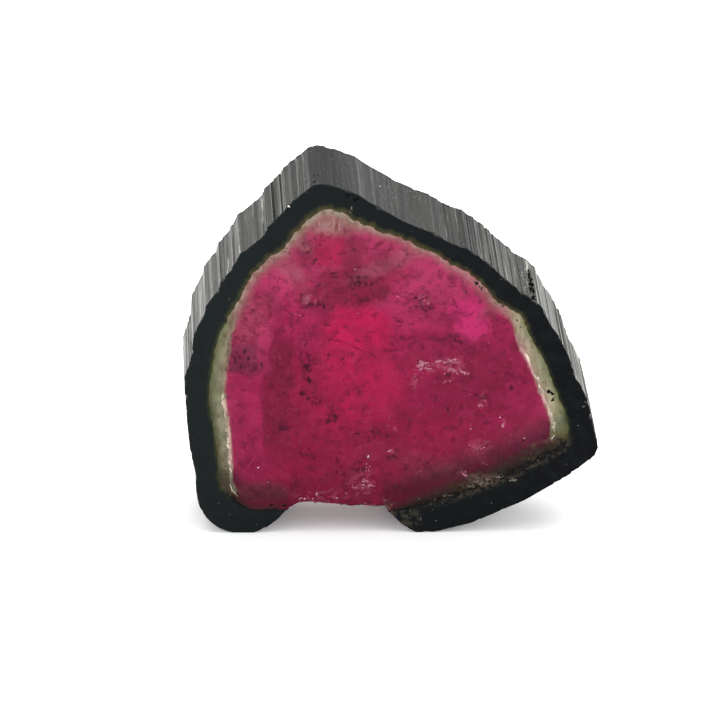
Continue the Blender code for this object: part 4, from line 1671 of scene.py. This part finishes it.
# Places across the band are zone numbers: 0 at the rind, 1 at the pink edge.
STONE_FROM = (0.15, 0.45)
TAIL_ACROSS = (1.0, 0.8, 0.25, 0.85)  # from one zone number to another, and the strength at each
CREAM_SIDES = ((0.86, 0.94), (1.14, 1.06))
CREAM_END = (-0.6, 0.4)  # mm below the line where the cream ends


# %% Colour of the flanks
def cream_line_mask(tree, along, axes, zone):
    """A mask of the cream line just inside the pink edge, broken by streaks, up to where it ends."""
    line = product(tree, *[map_range(tree, zone, *side) for side in CREAM_SIDES])
    end = maths(tree, "MULTIPLY_ADD", axes["X"], CREAM_TOP[1], CREAM_TOP[0])
    below_end = map_range(tree, maths(tree, "SUBTRACT", end, axes["Z"]), *CREAM_END)
    return product(tree, line, grain_mask(tree, along, *CREAM_STREAKS), below_end)


def flank_colour(tree, place, axes, zone):
    """Green between olive and cream: stonier in parts, with brown patches, stains and grey clouds."""
    along = object_place(tree, ALONG_THE_BAND)
    left = fade(tree, axes, *LEFT_FLANK)
    colour = ramp(tree, zone, FLANK_TONES)
    colour = laid_over(tree, colour, BAND_GREEN, grain_mask(tree, along, *GREEN_STREAKS))
    right = product(tree, fade(tree, axes, *RIGHT_FLANK), STONE_ON_RIGHT)
    lower_left = product(tree, left, fade(tree, axes, *LOWER_LEFT))
    lighter = maths(tree, "MULTIPLY_ADD", lower_left, STONE_ON_LEFT, right)
    lighter = product(tree, lighter, map_range(tree, zone, *STONE_FROM))
    colour = laid_over(tree, colour, BAND_STONE, lighter, grain_mask(tree, along, *STONE_STREAKS))
    patches = grain_mask(tree, place, *BROWN_PATCHES)
    colour = laid_over(tree, colour, BAND_BROWN, patches, fade(tree, axes, *LOW_DOWN))
    tail = product(tree, left, fade(tree, axes, *LEFT_TAIL))
    colour = laid_over(tree, colour, BAND_BROWN, tail, map_range(tree, zone, *TAIL_ACROSS))
    colour = laid_over(tree, colour, BAND_OLIVE, grain_mask(tree, place, *STAINED))
    clouds = grain_mask(tree, place, *GREY_CLOUDS)
    colour = laid_over(tree, colour, BAND_CLOUD, left, clouds, blend="MULTIPLY")
    end = [fade(tree, axes, *side) for side in RIGHT_END]
    colour = laid_over(tree, colour, BAND_MOSS, *end, MOSS_STRENGTH)
    return laid_over(tree, colour, BAND_CREAM, cream_line_mask(tree, along, axes, zone))


# %% Top and foot of the pale band
FRAYED = (2.4, 0.46, 0.58, 6.0, 0.75)
ROSE_BREAKS = (1.4, 0.44, 0.56, 4.0, 0.55)
OLIVE_FRINGE = (3.5, 0.50, 0.66, 6.0, 0.7)
STONY = (5.0, 0.42, 0.56, 6.0)
UPPER_RIGHT = ("X", -1.5, 1.0)
RIGHT_FOOT = ("X", 1.0, 3.0)
STONY_SPOT = (5.0, 3.45, 1.3, 0.34, -24, 0.5, 0.0)  # a sector, in the dark foot
STONY_STRAY = (2.0, 0.5)
TOP_SOFTNESS = 0.5  # mm either way of the line between flanks and top
FOOT_FADE = (0.20, -0.30)  # mm above the foot line


def top_colour(tree, place, axes, zone):
    """Beige with a lace of green at the rind, frayed brown, and broken by rose on the right."""
    colour = ramp(tree, zone, TOP_TONES)
    colour = laid_over(tree, colour, BAND_BROWN, grain_mask(tree, place, *FRAYED))
    breaks = grain_mask(tree, place, *ROSE_BREAKS)
    return laid_over(tree, colour, BAND_ROSE, fade(tree, axes, *UPPER_RIGHT), breaks)


def foot_colour(tree, place, axes, zone):
    """From the black of the rind through earth to wine, with an olive fringe and one stony spot."""
    colour = ramp(tree, zone, FOOT_TONES)
    fringe = grain_mask(tree, place, *OLIVE_FRINGE)
    colour = laid_over(tree, colour, BAND_OLIVE, fade(tree, axes, *RIGHT_FOOT), fringe)
    spot = sector_mask(tree, strayed(tree, place, *STONY_STRAY), *STONY_SPOT)
    return laid_over(tree, colour, BAND_CRUMB, spot, grain_mask(tree, place, *STONY))


def band_colour(tree, place, axes, zone):
    """The colour of the whole band: flanks, top and foot, each fading into the next."""
    flank = flank_colour(tree, place, axes, zone)
    up = fade(tree, axes, "Z", TOP_LINE - TOP_SOFTNESS, TOP_LINE + TOP_SOFTNESS)
    colour = laid_over(tree, flank, top_colour(tree, place, axes, zone), up)
    at_foot = map_range(tree, above_foot_line(tree, axes), *FOOT_FADE)
    return laid_over(tree, colour, foot_colour(tree, place, axes, zone), at_foot)


# %% [markdown]
# ## The clear crystal
# The material joins the band and the pinks where the zone number passes the pink edge. Glass could be
# clear with all its colour in a volume, but then thin and thick parts differ too much for a slice this
# thin. Here the surface carries most of the colour, with plain transmission and an index of 1.63, and a
# pink absorption deepens what lies behind it.

# %% Clear crystal
LEFT_BREAK = ("X", -6.35, -5.55)  # where the dark foot of the band gives way to pink
LEFT_OF_NOTCH = ("X", -2.1, -3.1)
SOFT_FOOT = (0.8, -0.4)  # mm above the foot line
SOFT_TOP = ("Z", TOP_LINE - 0.8, TOP_LINE + 0.8)
PINK_FROM = (1.0, 0.62)  # the zone number where the pinks begin, on the flanks and over the top
PINK_FULL = (1.18, 1.42)  # the zone number where only they are left, where the edge is crisp or soft
ZONE_WAVER = (0.12, 3.0, 4.0)  # swing, scale per mm, detail
CRYSTAL_VALUES = {
    "Roughness": 0.36, "IOR": TOURMALINE_IOR, "Transmission Weight": 0.85,
    "Specular Tint": rgb(0.04, 0.04, 0.04), "Coat Weight": 0.03, "Coat Roughness": 0.05,
}
ABSORPTION = {"Color": rgb(0.70, 0.19, 0.28), "Density": 250.0}


def inside_mask(tree, axes, zone):
    """A mask that passes from band to pinks: crisp on the flanks, softer over the top and at the foot."""
    foot = map_range(tree, above_foot_line(tree, axes), *SOFT_FOOT)
    top = fade(tree, axes, *SOFT_TOP)
    soft = maths(tree, "MAXIMUM", foot, top)
    low = map_range(tree, top, 0.0, 1.0, *PINK_FROM)
    high = map_range(tree, soft, 0.0, 1.0, *PINK_FULL)
    inside = map_range(tree, zone, low, high, smooth=True)
    at_break = product(tree, fade(tree, axes, *LEFT_BREAK), fade(tree, axes, *LEFT_OF_NOTCH), foot)
    return maths(tree, "MAXIMUM", inside, at_break)


def finish_clear_crystal():
    shader, tree = shader_of(clear_crystal)
    place = object_place(tree)
    axes = axes_of(tree, place)
    zone = add(tree, "ShaderNodeAttribute", attribute_name=ZONE).outputs["Fac"]
    zone = maths(tree, "ADD", zone, waver(tree, place, *ZONE_WAVER))
    pink = with_veils(tree, place, crystal_colour(tree, place))
    band = band_colour(tree, place, axes, zone)
    colour = laid_over(tree, band, pink, inside_mask(tree, axes, zone))
    tree.links.new(colour, shader.inputs["Base Color"])
    set_evenly(shader, CRYSTAL_VALUES)
    absorption = add(tree, "ShaderNodeVolumeAbsorption", ABSORPTION).outputs[0]
    tree.links.new(absorption, tree.nodes["Material Output"].inputs["Volume"])


finish_clear_crystal()
say_nodes(clear_crystal)

# %% [markdown]
# ## Minerals and chips
# Each small mineral has one finish with two tones, mixed by the shared grain, so neighbours differ. They
# are dull, because broken crystal scatters light.

# %% Sealed minerals, flakes and chips
MINERAL_LIMITS = (0.38, 0.62, 3.0)  # low and high limit of the grain, and its detail
MINERALS = [  # the finish, its two tones, the scale of its grain (per mm), its roughness
    (dark_mineral, rgb(0.016, 0.002, 0.007), rgb(0.17, 0.011, 0.040), 2.5, 0.6),
    (pale_flake, rgb(0.17, 0.035, 0.075), rgb(0.39, 0.165, 0.22), 6.0, 0.7),
    (fringe_chip, rgb(0.035, 0.030, 0.022), rgb(0.165, 0.135, 0.105), 7.0, 0.7),
    (cream_chip, rgb(0.24, 0.20, 0.155), rgb(0.60, 0.50, 0.40), 2.2, 0.7),
    (rim_chip, rgb(0.05, 0.05, 0.048), rgb(0.33, 0.325, 0.305), 4.0, 0.6),
    (rust, rgb(0.03, 0.008, 0.009), rgb(0.15, 0.040, 0.040), 5.0, 0.7),
    (white_chip, rgb(0.42, 0.32, 0.36), rgb(0.85, 0.80, 0.80), 3.0, 0.5),
    (black_pit, rgb(0.0, 0.0, 0.0), rgb(0.004, 0.004, 0.004), 3.0, 1.0),
    (grey_chip, rgb(0.016, 0.018, 0.020), rgb(0.085, 0.087, 0.085), 3.0, 0.6),
]
BARELY_SHINING = (pale_flake, fringe_chip, cream_chip, black_pit, grey_chip, rust)


def finish_mottled(material, low_colour, high_colour, scale, roughness):
    """A small mineral whose tone changes from one shard to the next."""
    shader, tree = shader_of(material)
    mask = grain_mask(tree, object_place(tree), scale, *MINERAL_LIMITS)
    tree.links.new(laid_over(tree, low_colour, high_colour, mask), shader.inputs["Base Color"])
    set_evenly(shader, {"Roughness": roughness})


for mineral in MINERALS:
    finish_mottled(*mineral)
for finish in BARELY_SHINING:
    set_evenly(shader_of(finish)[0], {"Specular IOR Level": 0.1})

print("minerals:", len(MINERALS))

# %% [markdown]
# ## The place it stands
# The slice stands on white paper in an even white surround, as on a product table. One broad light hangs
# above and behind, so the sloping prism faces shine softly. Three weak ones at the sides and in front
# lift the black rind a little.

# %% Floor
FLOOR_SIZE = 3.0  # metres
FLOOR_GAP = 0.00001  # below the lobes, so that the two surfaces don't fight
PAPER_VALUES = {"Base Color": rgb(0.92, 0.92, 0.92), "Roughness": 0.9, "Specular IOR Level": 0.0}


def white_floor():
    bm = bmesh.new()
    bmesh.ops.create_grid(bm, x_segments=1, y_segments=1, size=FLOOR_SIZE / 2)
    mesh = bpy.data.meshes.new("floor")
    bm.to_mesh(mesh)
    bm.free()
    floor = bpy.data.objects.new("floor", mesh)
    floor.location.z = -FLOOR_GAP
    finish = blank_finish("white_paper")
    set_evenly(shader_of(finish)[0], PAPER_VALUES)
    mesh.materials.append(finish)
    bpy.context.scene.collection.objects.link(floor)


white_floor()
print("floor in m:", FLOOR_SIZE)


# %% Lights
LIT_PLACE = Vector((0.0, 0.0, 0.01))
LIGHTS = [  # name, place, size, power; in metres and watts
    ("overhead", (0.05, 0.20, 0.78), 0.9, 5.8),
    ("right_fill", (0.45, -0.10, 0.26), 0.3, 0.8),
    ("left_fill", (-0.45, -0.10, 0.26), 0.3, 0.7),
    ("front_fill", (0.0, -0.60, 0.25), 0.3, 0.9),
]


def soft_light(name, place, size, power):
    """A square area light that points at the middle of the slab."""
    data = bpy.data.lights.new(name, "AREA")
    data.size = size
    data.energy = power
    lamp = bpy.data.objects.new(name, data)
    lamp.location = place
    aim = LIT_PLACE - Vector(place)
    lamp.rotation_euler = aim.to_track_quat("-Z", "Y").to_euler()
    bpy.context.scene.collection.objects.link(lamp)


def white_surround(strength):
    world = bpy.data.worlds.new("surround")
    world.use_nodes = True
    world.node_tree.nodes["Background"].inputs["Color"].default_value = rgb(1.0, 1.0, 1.0)
    world.node_tree.nodes["Background"].inputs["Strength"].default_value = strength
    bpy.context.scene.world = world


white_surround(1.0)
for light in LIGHTS:
    soft_light(*light)
bpy.context.scene.view_settings.view_transform = "Standard"
print("lights:", len(bpy.data.lights))

# %% [markdown]
# ## The camera
# A close-up lens a hand's length away looks down at the slice by about 31 degrees, from a little to its
# left, and the picture is turned by two degrees. The distance matters as much as the angle: from so near,
# the back edge looks a little smaller than the front one.

# %% Camera
CAMERA_AIM = Vector((-1.89, -2.175, 11.02)) * MM
CAMERA_DISTANCE = 215.46 * MM
CAMERA_AZIMUTH = math.radians(-4.30)
CAMERA_ELEVATION = math.radians(30.92)
CAMERA_ROLL = math.radians(2.21)
CAMERA_LENS = 201.85

camera = bpy.data.objects.new("camera", bpy.data.cameras.new("camera"))
camera.data.lens = CAMERA_LENS
camera.data.clip_start = 0.01
camera.data.clip_end = 10.0
away = Vector((
    math.sin(CAMERA_AZIMUTH) * math.cos(CAMERA_ELEVATION),
    -math.cos(CAMERA_AZIMUTH) * math.cos(CAMERA_ELEVATION),
    math.sin(CAMERA_ELEVATION),
))
camera.location = CAMERA_AIM + away * CAMERA_DISTANCE
level = (-away).to_track_quat("-Z", "Y").to_matrix()
camera.rotation_euler = (level @ Matrix.Rotation(CAMERA_ROLL, 3, "Z")).to_euler()
bpy.context.scene.collection.objects.link(camera)
bpy.context.scene.camera = camera

print("camera in mm:", [round(v / MM, 1) for v in camera.location])
